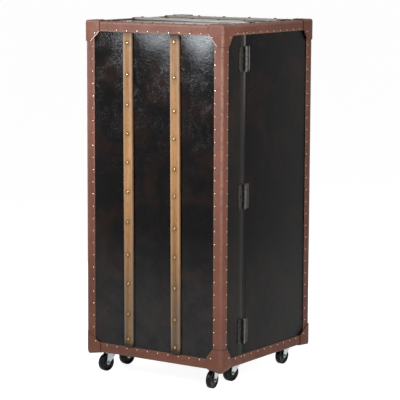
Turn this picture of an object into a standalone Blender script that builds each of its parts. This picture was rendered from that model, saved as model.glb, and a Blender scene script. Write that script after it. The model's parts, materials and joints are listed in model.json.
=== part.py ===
"""Upright bar trunk on casters: a leather-covered case whose deep front section is a hinged door.

Metres, +Z up. The origin is on the floor under the middle of the case. The door faces -Y,
its three hinges are on the right side (+X) and its hasp on the left side (-X).
"""

import math

import bmesh
import bpy
from mathutils import Matrix, Vector

# Case, measured over the leather edge bindings
CASE_WIDTH = 0.540
CASE_DEPTH = 0.540
CASE_HEIGHT = 1.105
DOOR_DEPTH = 0.127  # front of the case back to the seam
SEAM_GAP = 0.001
BOARD = 0.012  # leather-covered board
FIT = 0.0003  # gap between pieces that sit on each other

# Leather edge bindings and corner caps
BINDING = 0.0025
BINDING_WIDTH = 0.033
BINDING_RADIUS = 0.005
CAP_LENGTH = 0.060
CAP_NECK = 0.037  # where the diagonal edge of a cap starts
CAP_THICKNESS = 0.003
CAP_RADIUS = 0.0085

# Wooden slats
SLAT_WIDTH = 0.035
SLAT_THICKNESS = 0.008
SLAT_SPREAD = 0.094  # each slat of a pair, from the middle of its panel
SLAT_END_GAP = 0.001
SLAT_BEVEL = 0.002

# Nail heads, drawn as low cones that sink into what they fasten
NAIL_RADIUS = 0.0042
NAIL_HEIGHT = 0.0022
NAIL_SINK = 0.0005
NAIL_SIDES = 6
NAIL_PITCH = 0.041
NAIL_INSET = 0.0055  # from the inner edge of a binding
NAIL_CAP_GAP = 0.023  # from a cap to the first nail
NAIL_SEAM_GAP = 0.009
CAP_NAIL = 0.0415  # cap nail from both edges of the case
SLAT_NAIL_RADIUS = 0.0048
SLAT_NAIL_HEIGHT = 0.0028
SLAT_NAIL_PITCH = 0.098
SLAT_NAIL_END = 0.032

# Butt hinges on the right side of the seam
HINGE_HEIGHT = 0.080
HINGE_LEAF = 0.029  # axis to the edge of a leaf
HINGE_THICKNESS = 0.002
HINGE_INSET = 0.110  # middle of an end hinge from the end of the case
KNUCKLE_RADIUS = 0.0052
KNUCKLE_COUNT = 5
KNUCKLE_GAP = 0.0004
HINGE_PIN_RADIUS = 0.0025
HINGE_PIN_PLAY = 0.0003
HINGE_PIN_OVERHANG = 0.002
HINGE_SIDES = 12

# Hasp on the left side of the seam
HASP_PLATE = 0.002
HASP_PLATE_LENGTH = 0.040
HASP_PLATE_HEIGHT = 0.042
HASP_SEAM_GAP = 0.004  # plates from the seam
HASP_AXIS_SETBACK = 0.030  # pivot of the hasp from the seam
HASP_REACH = 0.042  # far end of the hasp from the seam
HASP_BARREL_RADIUS = 0.004
HASP_BARREL_LENGTH = 0.022
HASP_EAR_LENGTH = 0.008
HASP_PIN_RADIUS = 0.0017
HASP_PIN_PLAY = 0.0004
HASP_THICKNESS = 0.0025
STAPLE_PLACE = 0.024  # staple from the seam
STAPLE_WIDTH = 0.006
STAPLE_HEIGHT = 0.014
STAPLE_LENGTH = 0.0085
STAPLE_PLAY = 0.0015  # round the staple in the hasp's slot
HASP_SIDES = 10

# Swivel casters
CASTER_INSET = 0.058  # swivel axis from the side of the case
DOOR_CASTER_INSET = 0.054  # from the front of the case
FRONT_CASTER_INSET = 0.046  # from the seam
REAR_CASTER_INSET = 0.054  # from the back of the case
CASTER_TRAIL = 0.022
WHEEL_RADIUS = 0.029
WHEEL_WIDTH = 0.018
WHEEL_HUB_WIDTH = 0.020
WHEEL_HUB_RADIUS = 0.008
WHEEL_SHOULDER = 0.003
WHEEL_PLAY = 0.0005
WHEEL_SIDES = 24
AXLE_RADIUS = 0.003
AXLE_OVERHANG = 0.0015
FORK_PLATE = 0.002
FORK_SIDE_GAP = 0.001  # wheel hub to a fork leg
FORK_FOOT_RADIUS = 0.007
FORK_CROWN = 0.030  # length of the crown along the trail
FORK_CROWN_GAP = 0.002  # wheel to the crown
FORK_CROWN_THICKNESS = 0.0047
NECK_RADIUS = 0.0095  # swivel bearing between the crown and the board
CROWN_CAP_GAP = 0.001  # crown below the corner caps, which it turns under
NECK_CAP_GAP = 0.001  # round the neck, where a corner cap is trimmed for it
KINGPIN_RADIUS = 0.005
KINGPIN_LENGTH = 0.008
KINGPIN_PLAY = 0.0004
CASTER_SIDES = 12

# Fittings inside the body
SHELF = 0.012
SHELF_SETBACK = 0.004  # shelf front edge behind the edge of the body
CELL_HEIGHT = 0.150  # each of the two rows of bottle cells
CELL_COLUMNS = 4
CELL_DIVIDER = 0.009
DRAWER_BAY = 0.110
BOTTLE_BAY = 0.345
DRAWER_LENGTH = 0.310
DRAWER_BACK_GAP = 0.025  # drawer to the back of the body
DRAWER_WALL = 0.010
DRAWER_FLOOR = 0.006
DRAWER_GAP = 0.001  # round the drawer
KNOB_RADIUS = 0.010
KNOB_CROWN = 0.007  # radius where the knob's face starts to round over
KNOB_NECK = 0.0045
KNOB_NECK_LENGTH = 0.007
KNOB_LENGTH = 0.016
KNOB_ROUND = 0.002
KNOB_SIDES = 12
STEM_BOARD = 0.006
STEM_RAIL_PITCH = 0.135
STEM_RAIL_FLANGE = 0.100
STEM_RAIL_FLANGE_THICKNESS = 0.007
STEM_RAIL_WEB = 0.012
STEM_RAIL_HEIGHT = 0.030

# Fittings inside the door
DOOR_LOWER_BAY = 0.240
DOOR_MIDDLE_BAY = 0.385
DOOR_SHELF_SETBACK = 0.003
GUARD_RADIUS = 0.004
GUARD_HEIGHT = 0.055  # middle of a guard rail above its shelf
GUARD_SETBACK = 0.010
GUARD_SIDES = 10

# How far each caster has swivelled from trailing straight forwards, in degrees
CASTER_ANGLES = {
    "door_left": 10.0,
    "door_right": -6.0,
    "front_left": 14.0,
    "front_right": 12.0,
    "rear_left": 10.0,
    "rear_right": 2.0,
}

# Heights of a caster's crown
FORK_CROWN_BOTTOM = 2 * WHEEL_RADIUS + FORK_CROWN_GAP
FORK_TOP = FORK_CROWN_BOTTOM + FORK_CROWN_THICKNESS

# Faces of the case, which stands on the casters, and of the boards inside the bindings
HALF_WIDTH = CASE_WIDTH / 2
HALF_DEPTH = CASE_DEPTH / 2
CASE_BOTTOM = FORK_TOP + CROWN_CAP_GAP + CAP_THICKNESS + FIT
CASE_TOP = CASE_BOTTOM + CASE_HEIGHT
CASE_MIDDLE = (CASE_BOTTOM + CASE_TOP) / 2
BOARD_X = HALF_WIDTH - BINDING
BOARD_FRONT = -HALF_DEPTH + BINDING
BOARD_BACK = HALF_DEPTH - BINDING
BOARD_BOTTOM = CASE_BOTTOM + BINDING
BOARD_TOP = CASE_TOP - BINDING
SEAM_Y = -HALF_DEPTH + DOOR_DEPTH
DOOR_EDGE = SEAM_Y - SEAM_GAP / 2
BODY_EDGE = SEAM_Y + SEAM_GAP / 2

# Faces of the spaces inside
INNER_X = BOARD_X - BOARD
INNER_FRONT = BOARD_FRONT + BOARD
INNER_BACK = BOARD_BACK - BOARD
INNER_FLOOR = BOARD_BOTTOM + BOARD
INNER_TOP = BOARD_TOP - BOARD

# As many glass rails as fit between the sides, and the front of the drawer
STEM_RAIL_COUNT = 1 + int((2 * (INNER_X - FIT) - STEM_RAIL_FLANGE) / STEM_RAIL_PITCH)
DRAWER_FRONT = INNER_BACK - DRAWER_BACK_GAP - DRAWER_LENGTH

# Undersides of the shelves of the body and of the door
DRAWER_SHELF_Z = INNER_FLOOR + 2 * CELL_HEIGHT + SHELF
WORK_SHELF_Z = DRAWER_SHELF_Z + SHELF + DRAWER_BAY
UPPER_SHELF_Z = WORK_SHELF_Z + SHELF + BOTTLE_BAY
DOOR_LOWER_SHELF_Z = INNER_FLOOR + DOOR_LOWER_BAY
DOOR_UPPER_SHELF_Z = DOOR_LOWER_SHELF_Z + SHELF + DOOR_MIDDLE_BAY
SHELF_FRONT = BODY_EDGE + SHELF_SETBACK

# Outer faces of the slats, and where the slats lie on their panels
SLAT_LOW = CASE_BOTTOM + BINDING_WIDTH + SLAT_END_GAP
SLAT_HIGH = CASE_TOP - BINDING_WIDTH - SLAT_END_GAP
SLAT_SIDE = HALF_WIDTH - BINDING_WIDTH - SLAT_END_GAP
SLAT_FRONT = BOARD_FRONT - FIT - SLAT_THICKNESS
SLAT_TOP = BOARD_TOP + FIT + SLAT_THICKNESS
TOP_SLAT_MIDDLE = (BODY_EDGE + HALF_DEPTH - BINDING_WIDTH) / 2

# Axes of the door's hinges and of the hasp
HINGE_AXIS_X = BOARD_X + FIT + KNUCKLE_RADIUS
HINGE_HEIGHTS = {
    "upper": CASE_TOP - HINGE_INSET,
    "middle": CASE_MIDDLE,
    "lower": CASE_BOTTOM + HINGE_INSET,
}
HASP_AXIS_X = -(BOARD_X + FIT + HASP_PLATE + FIT + HASP_BARREL_RADIUS)
HASP_AXIS_Y = SEAM_Y - HASP_AXIS_SETBACK

# Neck, widths and places of the casters
NECK_TOP = BOARD_BOTTOM - FIT
FORK_INSIDE = WHEEL_HUB_WIDTH + 2 * FORK_SIDE_GAP
FORK_OUTSIDE = FORK_INSIDE + 2 * FORK_PLATE
CASTER_X = HALF_WIDTH - CASTER_INSET
CASTER_ROWS = {
    "door": -HALF_DEPTH + DOOR_CASTER_INSET,
    "front": SEAM_Y + FRONT_CASTER_INSET,
    "rear": HALF_DEPTH - REAR_CASTER_INSET,
}

# Directions that the outer faces look
FRONT = Vector((0, -1, 0))
BACK = Vector((0, 1, 0))
LEFT = Vector((-1, 0, 0))
RIGHT = Vector((1, 0, 0))
UP = Vector((0, 0, 1))
CUTTER_REACH = 0.010  # how far a cutter runs past what it cuts
SMOOTH_ANGLE = math.radians(35)


def clear_scene():
    for obj in list(bpy.data.objects):
        bpy.data.objects.remove(obj)


def new_collection(name):
    collection = bpy.data.collections.new(name)
    bpy.context.scene.collection.children.link(collection)
    return collection


def new_material(name, color, roughness, metallic=0.0):
    material = bpy.data.materials.new(name)
    material.use_nodes = True
    shader = material.node_tree.nodes["Principled BSDF"]
    shader.inputs["Base Color"].default_value = (*color, 1.0)
    shader.inputs["Roughness"].default_value = roughness
    shader.inputs["Metallic"].default_value = metallic
    return material


def add_pivot(name, place, carrier=None, turn=0.0):
    """An empty on a joint's axis, which carries the pieces that move there."""
    pivot = bpy.data.objects.new(name, None)
    pivot.location = place
    pivot.rotation_euler.z = turn
    pivot.parent = carrier
    PARTS.objects.link(pivot)
    return pivot


def add_tool(mesh, place, carrier):
    """A cutter, or a shape that is joined to a part. It isn't a part itself."""
    tool = bpy.data.objects.new(mesh.name, mesh)
    tool.location = place
    tool.parent = carrier
    tool.hide_render = True
    tool.display_type = "WIRE"
    TOOLS.objects.link(tool)
    return tool


def add_part(name, mesh, material, place=(0, 0, 0), carrier=None, joined=(), cut=()):
    """A part in its carrier's frame. Its mesh has shapes joined to it and then others cut from it."""
    part = bpy.data.objects.new(name, mesh)
    mesh.materials.append(material)
    part.location = place
    part.parent = carrier
    PARTS.objects.link(part)
    for operation, meshes in (("UNION", joined), ("DIFFERENCE", cut)):
        for tool_mesh in meshes:
            boolean = part.modifiers.new(tool_mesh.name, "BOOLEAN")
            boolean.operation = operation
            boolean.solver = "EXACT"
            boolean.object = add_tool(tool_mesh, place, carrier)
    return part


def add_board(name, low, high, material, carrier=None, cut=()):
    """A plain board between two corners of the case's frame. Its cutters are in that frame too."""
    middle = (Vector(low) + Vector(high)) / 2
    place = middle - carrier.location if carrier else middle
    mesh = box_mesh(name, Vector(low) - middle, Vector(high) - middle)
    for cutter in cut:
        cutter.transform(Matrix.Translation(-middle))
    return add_part(name, mesh, material, place, carrier, cut=cut)


def box_mesh(name, low, high, radius=0.0, segments=2, is_rounded=None):
    """A box between two corners. The edges that is_rounded picks get that radius."""
    low, high = Vector(low), Vector(high)
    mesh = bpy.data.meshes.new(name)
    shape = bmesh.new()
    size = Matrix.Diagonal((*(high - low), 1.0))
    bmesh.ops.create_cube(shape, size=1.0, matrix=Matrix.Translation((low + high) / 2) @ size)
    if radius > 0:
        edges = [edge for edge in shape.edges if is_rounded is None or is_rounded(edge)]
        bmesh.ops.bevel(shape, geom=edges, offset=radius, segments=segments, profile=0.5, affect="EDGES")
    shape.to_mesh(mesh)
    shape.free()
    return mesh


def cylinder_mesh(name, radius, start, end, sides, tip_radius=None):
    """A round bar between two points. Its tip may have another radius, such as 0 for a point."""
    start, end = Vector(start), Vector(end)
    mesh = bpy.data.meshes.new(name)
    shape = bmesh.new()
    turn = UP.rotation_difference(end - start).to_matrix().to_4x4()
    bmesh.ops.create_cone(
        shape,
        cap_ends=True,
        segments=sides,
        radius1=radius,
        radius2=radius if tip_radius is None else tip_radius,
        depth=(end - start).length,
        matrix=Matrix.Translation((start + end) / 2) @ turn,
    )
    shape.to_mesh(mesh)
    shape.free()
    shade_round(mesh)
    return mesh


def outline_mesh(name, points, thickness, placement):
    """A flat closed outline with a thickness. The matrix carries the outline's X and Y to where it lies."""
    curve = bpy.data.curves.new(name, "CURVE")
    curve.dimensions = "2D"
    curve.fill_mode = "BOTH"
    curve.extrude = thickness / 2
    spline = curve.splines.new("POLY")
    spline.points.add(len(points) - 1)
    spline.use_cyclic_u = True
    for point, (x, y) in zip(spline.points, points):
        point.co = (x, y, 0, 1)
    mesh = evaluated_mesh(curve)
    welded = bmesh.new()
    welded.from_mesh(mesh)
    bmesh.ops.remove_doubles(welded, verts=welded.verts, dist=0.00001)
    welded.transform(placement)
    bmesh.ops.recalc_face_normals(welded, faces=welded.faces)
    welded.to_mesh(mesh)
    welded.free()
    return mesh


def evaluated_mesh(curve):
    """The mesh of a curve. The curve itself isn't kept."""
    holder = add_tool(curve, (0, 0, 0), None)
    bpy.context.view_layer.update()
    graph = bpy.context.evaluated_depsgraph_get()
    mesh = bpy.data.meshes.new_from_object(holder.evaluated_get(graph))
    bpy.data.objects.remove(holder)
    return mesh


def add_turned(name, profile, sides, material, place, carrier, turn):
    """A turned part about its own Z: its profile holds (radius, height) points, down its outer side."""
    mesh = bpy.data.meshes.new(name)
    shape = bmesh.new()
    points = [shape.verts.new((radius, 0, height)) for radius, height in profile]
    for first, second in zip(points, points[1:]):
        shape.edges.new((first, second))
    if profile[0][0] > 0:
        shape.edges.new((points[-1], points[0]))
    shape.to_mesh(mesh)
    shape.free()
    part = add_part(name, mesh, material, place, carrier)
    part.rotation_euler = turn.to_euler()
    screw = part.modifiers.new("turned", "SCREW")
    screw.steps = sides
    screw.render_steps = sides
    screw.use_merge_vertices = True
    screw.merge_threshold = 0.0001
    screw.use_smooth_shade = True
    return part


def shade_round(mesh):
    mesh.shade_smooth()
    mesh.set_sharp_from_angle(angle=SMOOTH_ANGLE)


def spaced(start, end, pitch):
    """Places from start to end at about the pitch, with one at each end."""
    count = max(1, round((end - start) / pitch))
    return [start + (end - start) * i / count for i in range(count + 1)]


def on_face(point, direction):
    """Placement of a piece whose +Z looks out of a face."""
    return Matrix.Translation(point) @ UP.rotation_difference(direction).to_matrix().to_4x4()


def nails_mesh(name, places, radius, height):
    """A nail head at each place, sunk a little into the face."""
    nails = bmesh.new()
    for place in places:
        middle = place @ Matrix.Translation((0, 0, (height - NAIL_SINK) / 2))
        bmesh.ops.create_cone(
            nails,
            cap_ends=True,
            segments=NAIL_SIDES,
            radius1=radius,
            radius2=0.0,
            depth=height + NAIL_SINK,
            matrix=middle,
        )
    mesh = bpy.data.meshes.new(name)
    nails.to_mesh(mesh)
    nails.free()
    return mesh


def kingpin_bore(row, side):
    """Cutter for the hole that a caster's kingpin turns in."""
    x, y = side * CASTER_X, CASTER_ROWS[row]
    ends = ((x, y, BOARD_BOTTOM - CUTTER_REACH), (x, y, NECK_TOP + KINGPIN_LENGTH + FIT))
    return cylinder_mesh(f"{row}_kingpin_bore", KINGPIN_RADIUS + KINGPIN_PLAY, *ends, CASTER_SIDES)


def build_panels(door):
    """The leather-covered boards of the door and of the body."""
    inner = INNER_X - FIT
    start = INNER_FRONT + FIT
    boards = {
        "front": ((-BOARD_X, BOARD_FRONT, BOARD_BOTTOM), (BOARD_X, INNER_FRONT, BOARD_TOP)),
        "left": ((-BOARD_X, start, BOARD_BOTTOM), (-INNER_X, DOOR_EDGE, BOARD_TOP)),
        "right": ((INNER_X, start, BOARD_BOTTOM), (BOARD_X, DOOR_EDGE, BOARD_TOP)),
        "top": ((-inner, start, INNER_TOP), (inner, DOOR_EDGE, BOARD_TOP)),
        "bottom": ((-inner, start, BOARD_BOTTOM), (inner, DOOR_EDGE, INNER_FLOOR)),
    }
    bores = [kingpin_bore("door", side) for side in (-1, 1)]
    for side, (low, high) in boards.items():
        add_board(f"door_{side}_panel", low, high, BLACK_LEATHER, door, bores if side == "bottom" else ())
    end = INNER_BACK - FIT
    boards = {
        "back": ((-BOARD_X, INNER_BACK, BOARD_BOTTOM), (BOARD_X, BOARD_BACK, BOARD_TOP)),
        "left": ((-BOARD_X, BODY_EDGE, BOARD_BOTTOM), (-INNER_X, end, BOARD_TOP)),
        "right": ((INNER_X, BODY_EDGE, BOARD_BOTTOM), (BOARD_X, end, BOARD_TOP)),
        "top": ((-inner, BODY_EDGE, INNER_TOP), (inner, end, BOARD_TOP)),
        "bottom": ((-inner, BODY_EDGE, BOARD_BOTTOM), (inner, end, INNER_FLOOR)),
    }
    bores = [kingpin_bore(row, side) for row in ("front", "rear") for side in (-1, 1)]
    for side, (low, high) in boards.items():
        add_board(f"body_{side}_panel", low, high, BLACK_LEATHER, None, bores if side == "bottom" else ())


def binding_nails(front_or_back, depths):
    """Nails of a binding, on its front (-1) or back (1) face, sides and top. depths are along the sides."""
    line = BINDING_WIDTH - NAIL_INSET
    start = CAP_LENGTH + NAIL_CAP_GAP
    face = FRONT if front_or_back < 0 else BACK
    face_y = front_or_back * HALF_DEPTH
    line_y = front_or_back * (HALF_DEPTH - line)
    line_x = HALF_WIDTH - line
    rows = (CASE_BOTTOM + line, CASE_TOP - line)
    places = []
    for side, sideways in ((-1, LEFT), (1, RIGHT)):
        side_x = side * HALF_WIDTH
        for z in spaced(CASE_BOTTOM + start, CASE_TOP - start, NAIL_PITCH):
            places.append(on_face((side * line_x, face_y, z), face))
            places.append(on_face((side_x, line_y, z), sideways))
        for y in depths:
            places.append(on_face((side * line_x, y, CASE_TOP), UP))
            for z in rows:
                places.append(on_face((side_x, y, z), sideways))
    for x in spaced(-HALF_WIDTH + start, HALF_WIDTH - start, NAIL_PITCH):
        places.append(on_face((x, line_y, CASE_TOP), UP))
        for z in rows:
            places.append(on_face((x, face_y, z), face))
    return places


def add_binding(name, front_or_back, seam_y, carrier):
    """Leather strips round the edges of one section, from its front (-1) or back (1) face to the seam."""
    out = front_or_back
    outer_y = out * HALF_DEPTH
    board_y = outer_y - out * BINDING
    window_y = outer_y - out * BINDING_WIDTH
    past_outer = outer_y + out * CUTTER_REACH
    past_seam = seam_y - out * CUTTER_REACH

    def off_seam(edge):
        return any(abs(vert.co.y - seam_y) > BINDING for vert in edge.verts)

    def across(part, x, y_ends, z_ends, radius=0.0, is_rounded=None):
        y_low, y_high = sorted(y_ends)
        low, high = (-x, y_low, z_ends[0]), (x, y_high, z_ends[1])
        return box_mesh(f"{name}_{part}", low, high, radius, 3, is_rounded)

    window_x = HALF_WIDTH - BINDING_WIDTH
    window_z = (CASE_BOTTOM + BINDING_WIDTH, CASE_TOP - BINDING_WIDTH)
    through_x = HALF_WIDTH + CUTTER_REACH
    through_z = (CASE_BOTTOM - CUTTER_REACH, CASE_TOP + CUTTER_REACH)
    hollow_y = (board_y + out * FIT, past_seam)
    hollow_z = (BOARD_BOTTOM - FIT, BOARD_TOP + FIT)
    case_z = (CASE_BOTTOM, CASE_TOP)
    shell = across("shell", HALF_WIDTH, (outer_y, seam_y), case_z, BINDING_RADIUS, off_seam)
    windows = [
        across("hollow", BOARD_X + FIT, hollow_y, hollow_z),
        across("face_window", window_x, (past_outer, board_y), window_z),
        across("side_window", through_x, (window_y, past_seam), window_z),
        across("end_window", window_x, (window_y, past_seam), through_z),
    ]
    seam_end = SEAM_Y + out * NAIL_SEAM_GAP
    corner_end = outer_y - out * (CAP_LENGTH + NAIL_CAP_GAP)
    depths = spaced(*sorted((seam_end, corner_end)), NAIL_PITCH)
    nails = nails_mesh(f"{name}_nails", binding_nails(out, depths), NAIL_RADIUS, NAIL_HEIGHT)
    place = -carrier.location if carrier else (0, 0, 0)
    shade_round(shell)
    return add_part(name, shell, BROWN_LEATHER, place, carrier, joined=[nails], cut=windows)


def neck_trim(row, side, corner):
    """Cutter, in a corner cap's frame, that keeps the cap clear of the neck of a caster."""
    neck = Vector((side * CASTER_X, CASTER_ROWS[row], corner.z)) - corner
    ends = (neck - UP * CUTTER_REACH, neck + UP * CUTTER_REACH)
    return cylinder_mesh(f"{row}_neck_trim", NECK_RADIUS + NECK_CAP_GAP, *ends, CASTER_SIDES)


def add_cap(name, corner, signs, carrier, trims=()):
    """A corner cap. signs are the directions from the middle of the case to its corner along X, Y and Z."""
    outside = FIT + CAP_THICKNESS
    mirror = Matrix.Diagonal((*signs, 1))

    def meets_corner(edge):
        middle = (edge.verts[0].co + edge.verts[1].co) / 2
        return sum(1 for value in middle if value > 0) == 2

    def mirrored(mesh):
        mesh.transform(mirror)
        if mirror.determinant() < 0:
            mesh.flip_normals()
        return mesh

    shell = box_mesh(name, (-CAP_LENGTH,) * 3, (outside,) * 3, CAP_RADIUS, 3, meets_corner)
    shade_round(shell)
    far = -CAP_LENGTH - CUTTER_REACH
    hollow_radius = BINDING_RADIUS + FIT
    cutters = [mirrored(box_mesh(f"{name}_hollow", (far,) * 3, (FIT,) * 3, hollow_radius, 3, meets_corner))]
    nail_places = []
    for axis in range(3):
        inwards = Vector((-1, -1, -1))
        inwards[axis] = 0
        edge = inwards.normalized() * (CAP_LENGTH + CAP_NECK) / math.sqrt(2)
        diagonal_low = (-CAP_LENGTH, -CAP_LENGTH, 0)
        diagonal = box_mesh(f"{name}_diagonal", diagonal_low, (CAP_LENGTH, CAP_LENGTH, CAP_LENGTH))
        diagonal.transform(on_face(edge, inwards))
        cutters.append(mirrored(diagonal))
        nail = inwards * CAP_NAIL
        nail[axis] = outside
        direction = Vector((0, 0, 0))
        direction[axis] = signs[axis]
        if axis < 2 or signs[axis] > 0:
            nail_places.append(on_face(mirror @ nail, direction))
    nails = nails_mesh(f"{name}_nails", nail_places, NAIL_RADIUS, NAIL_HEIGHT)
    place = corner - carrier.location if carrier else corner
    cutters += trims
    return add_part(name, mirrored(shell), BROWN_LEATHER, place, carrier, joined=[nails], cut=cutters)


def build_bindings_and_caps(door):
    add_binding("door_edge_binding", -1, DOOR_EDGE, door)
    add_binding("body_edge_binding", 1, BODY_EDGE, None)
    for section, carrier, y_sign, row in (("door", door, -1, "door"), ("body", None, 1, "rear")):
        for side, x_sign in (("left", -1), ("right", 1)):
            for end, z_sign, height in (("top", 1, CASE_TOP), ("bottom", -1, CASE_BOTTOM)):
                corner = Vector((x_sign * HALF_WIDTH, y_sign * HALF_DEPTH, height))
                trims = [neck_trim(row, x_sign, corner)] if end == "bottom" else []
                add_cap(f"{section}_{end}_{side}_cap", corner, (x_sign, y_sign, z_sign), carrier, trims)


def add_slat(name, low, high, nail_places, carrier):
    low, high = Vector(low), Vector(high)
    middle = (low + high) / 2
    mesh = box_mesh(name, low - middle, high - middle, SLAT_BEVEL, segments=1)
    places = [Matrix.Translation(-middle) @ place for place in nail_places]
    nails = nails_mesh(f"{name}_nails", places, SLAT_NAIL_RADIUS, SLAT_NAIL_HEIGHT)
    place = middle - carrier.location if carrier else middle
    add_part(name, mesh, SLAT_WOOD, place, carrier, joined=[nails])


def build_slats(door):
    half = SLAT_WIDTH / 2
    heights = spaced(SLAT_LOW + SLAT_NAIL_END, SLAT_HIGH - SLAT_NAIL_END, SLAT_NAIL_PITCH)
    for side, x in (("left", -SLAT_SPREAD), ("right", SLAT_SPREAD)):
        low = (x - half, SLAT_FRONT, SLAT_LOW)
        high = (x + half, SLAT_FRONT + SLAT_THICKNESS, SLAT_HIGH)
        nails = [on_face((x, SLAT_FRONT, z), FRONT) for z in heights]
        add_slat(f"front_{side}_slat", low, high, nails, door)
    acrosses = spaced(-SLAT_SIDE + SLAT_NAIL_END, SLAT_SIDE - SLAT_NAIL_END, SLAT_NAIL_PITCH)
    for end, y in (("front", TOP_SLAT_MIDDLE - SLAT_SPREAD), ("rear", TOP_SLAT_MIDDLE + SLAT_SPREAD)):
        low = (-SLAT_SIDE, y - half, SLAT_TOP - SLAT_THICKNESS)
        high = (SLAT_SIDE, y + half, SLAT_TOP)
        nails = [on_face((x, y, SLAT_TOP), UP) for x in acrosses]
        add_slat(f"top_{end}_slat", low, high, nails, None)


def add_hinge_leaf(name, height, side, first_knuckle, carrier):
    """A hinge leaf on the door's (-1) or body's (1) side of the axis, with every other knuckle."""
    inner = -KNUCKLE_RADIUS
    outer = inner + HINGE_THICKNESS
    edge = KNUCKLE_RADIUS + KNUCKLE_GAP
    half = HINGE_HEIGHT / 2

    def plate(part, y_start, y_end, z_low, z_high):
        y_low, y_high = sorted((side * y_start, side * y_end))
        return box_mesh(f"{name}_{part}", (inner, y_low, z_low), (outer, y_high, z_high))

    knuckles = []
    length = HINGE_HEIGHT / KNUCKLE_COUNT
    for number in range(first_knuckle, KNUCKLE_COUNT, 2):
        low = -half + number * length + KNUCKLE_GAP / 2
        high = low + length - KNUCKLE_GAP
        knuckles.append(plate("tab", 0, edge + HINGE_THICKNESS, low, high))
        ends = ((0, 0, low), (0, 0, high))
        knuckles.append(cylinder_mesh(f"{name}_knuckle", KNUCKLE_RADIUS, *ends, HINGE_SIDES))
    reach = half + CUTTER_REACH
    bore_radius = (HINGE_PIN_RADIUS + HINGE_PIN_PLAY) / math.cos(math.pi / HINGE_SIDES)
    bore = cylinder_mesh(f"{name}_bore", bore_radius, (0, 0, -reach), (0, 0, reach), HINGE_SIDES)
    place = Vector((HINGE_AXIS_X, SEAM_Y, height))
    place = place - carrier.location if carrier else place
    leaf = plate("leaf", edge, HINGE_LEAF, -half, half)
    add_part(name, leaf, BLACK_METAL, place, carrier, joined=knuckles, cut=[bore])


def build_hinges(door):
    """Three butt hinges. Their pins stay with the body's leaves."""
    reach = HINGE_HEIGHT / 2 + HINGE_PIN_OVERHANG
    for name, height in HINGE_HEIGHTS.items():
        add_hinge_leaf(f"{name}_hinge_body_leaf", height, 1, 0, None)
        add_hinge_leaf(f"{name}_hinge_door_leaf", height, -1, 1, door)
        pin_name = f"{name}_hinge_pin"
        pin = cylinder_mesh(pin_name, HINGE_PIN_RADIUS, (0, 0, -reach), (0, 0, reach), HINGE_SIDES)
        add_part(pin_name, pin, STEEL, (HINGE_AXIS_X, SEAM_Y, height))


def build_hasp(door):
    """A hasp that swings on the door's plate and drops over a staple on the body."""
    axis = Vector((HASP_AXIS_X, HASP_AXIS_Y, CASE_MIDDLE))
    inner = HASP_BARREL_RADIUS + FIT
    start = HASP_AXIS_SETBACK - HASP_SEAM_GAP
    half_plate = HASP_PLATE_HEIGHT / 2
    low = (inner, start - HASP_PLATE_LENGTH, -half_plate)
    plate = box_mesh("hasp_plate", low, (inner + HASP_PLATE, start, half_plate))
    half_barrel = HASP_BARREL_LENGTH / 2
    ear_start = half_barrel + FIT
    ear_end = ear_start + HASP_EAR_LENGTH
    web = HASP_BARREL_RADIUS / 2
    ears = []
    for name, z_low, z_high in (("upper", ear_start, ear_end), ("lower", -ear_end, -ear_start)):
        ends = ((0, 0, z_low), (0, 0, z_high))
        ears.append(cylinder_mesh(f"hasp_{name}_ear", HASP_BARREL_RADIUS, *ends, HASP_SIDES))
        ears.append(box_mesh(f"hasp_{name}_web", (0, -web, z_low), (inner + HASP_PLATE / 2, web, z_high)))
    reach = ear_end + CUTTER_REACH
    bore_radius = (HASP_PIN_RADIUS + HASP_PIN_PLAY) / math.cos(math.pi / HASP_SIDES)
    bore = cylinder_mesh("hasp_ear_bore", bore_radius, (0, 0, -reach), (0, 0, reach), HASP_SIDES)
    add_part("hasp_plate", plate, BRASS, axis - door.location, door, joined=ears, cut=[bore])

    pivot = add_pivot("hasp_pivot", axis - door.location, door)
    barrel_ends = ((0, 0, -half_barrel), (0, 0, half_barrel))
    barrel = cylinder_mesh("hasp", HASP_BARREL_RADIUS, *barrel_ends, HASP_SIDES)
    pin = cylinder_mesh("hasp_pin", HASP_PIN_RADIUS, (0, 0, -ear_end), (0, 0, ear_end), HASP_SIDES)
    half_arm = HASP_THICKNESS / 2
    far = HASP_AXIS_SETBACK + HASP_REACH
    arm = box_mesh("hasp_arm", (-half_arm, 0, -half_barrel + FIT), (half_arm, far, half_barrel - FIT))
    slot_y = HASP_AXIS_SETBACK + STAPLE_PLACE
    half_width = STAPLE_WIDTH / 2 + STAPLE_PLAY
    half_height = STAPLE_HEIGHT / 2 + STAPLE_PLAY
    slot_low = (-CUTTER_REACH, slot_y - half_width, -half_height)
    slot = box_mesh("hasp_slot", slot_low, (CUTTER_REACH, slot_y + half_width, half_height))
    add_part("hasp", barrel, BRASS, carrier=pivot, joined=[pin, arm], cut=[slot])

    outer = -FIT - HASP_PLATE
    keeper_low = (outer, HASP_SEAM_GAP, -half_plate)
    keeper = box_mesh("hasp_keeper", keeper_low, (-FIT, HASP_SEAM_GAP + HASP_PLATE_LENGTH, half_plate))
    staple_low = (outer - STAPLE_LENGTH, STAPLE_PLACE - STAPLE_WIDTH / 2, -STAPLE_HEIGHT / 2)
    staple_high = (outer + HASP_PLATE / 2, STAPLE_PLACE + STAPLE_WIDTH / 2, STAPLE_HEIGHT / 2)
    staple = box_mesh("hasp_staple", staple_low, staple_high)
    add_part("hasp_keeper", keeper, BRASS, (-BOARD_X, SEAM_Y, CASE_MIDDLE), joined=[staple])


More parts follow.
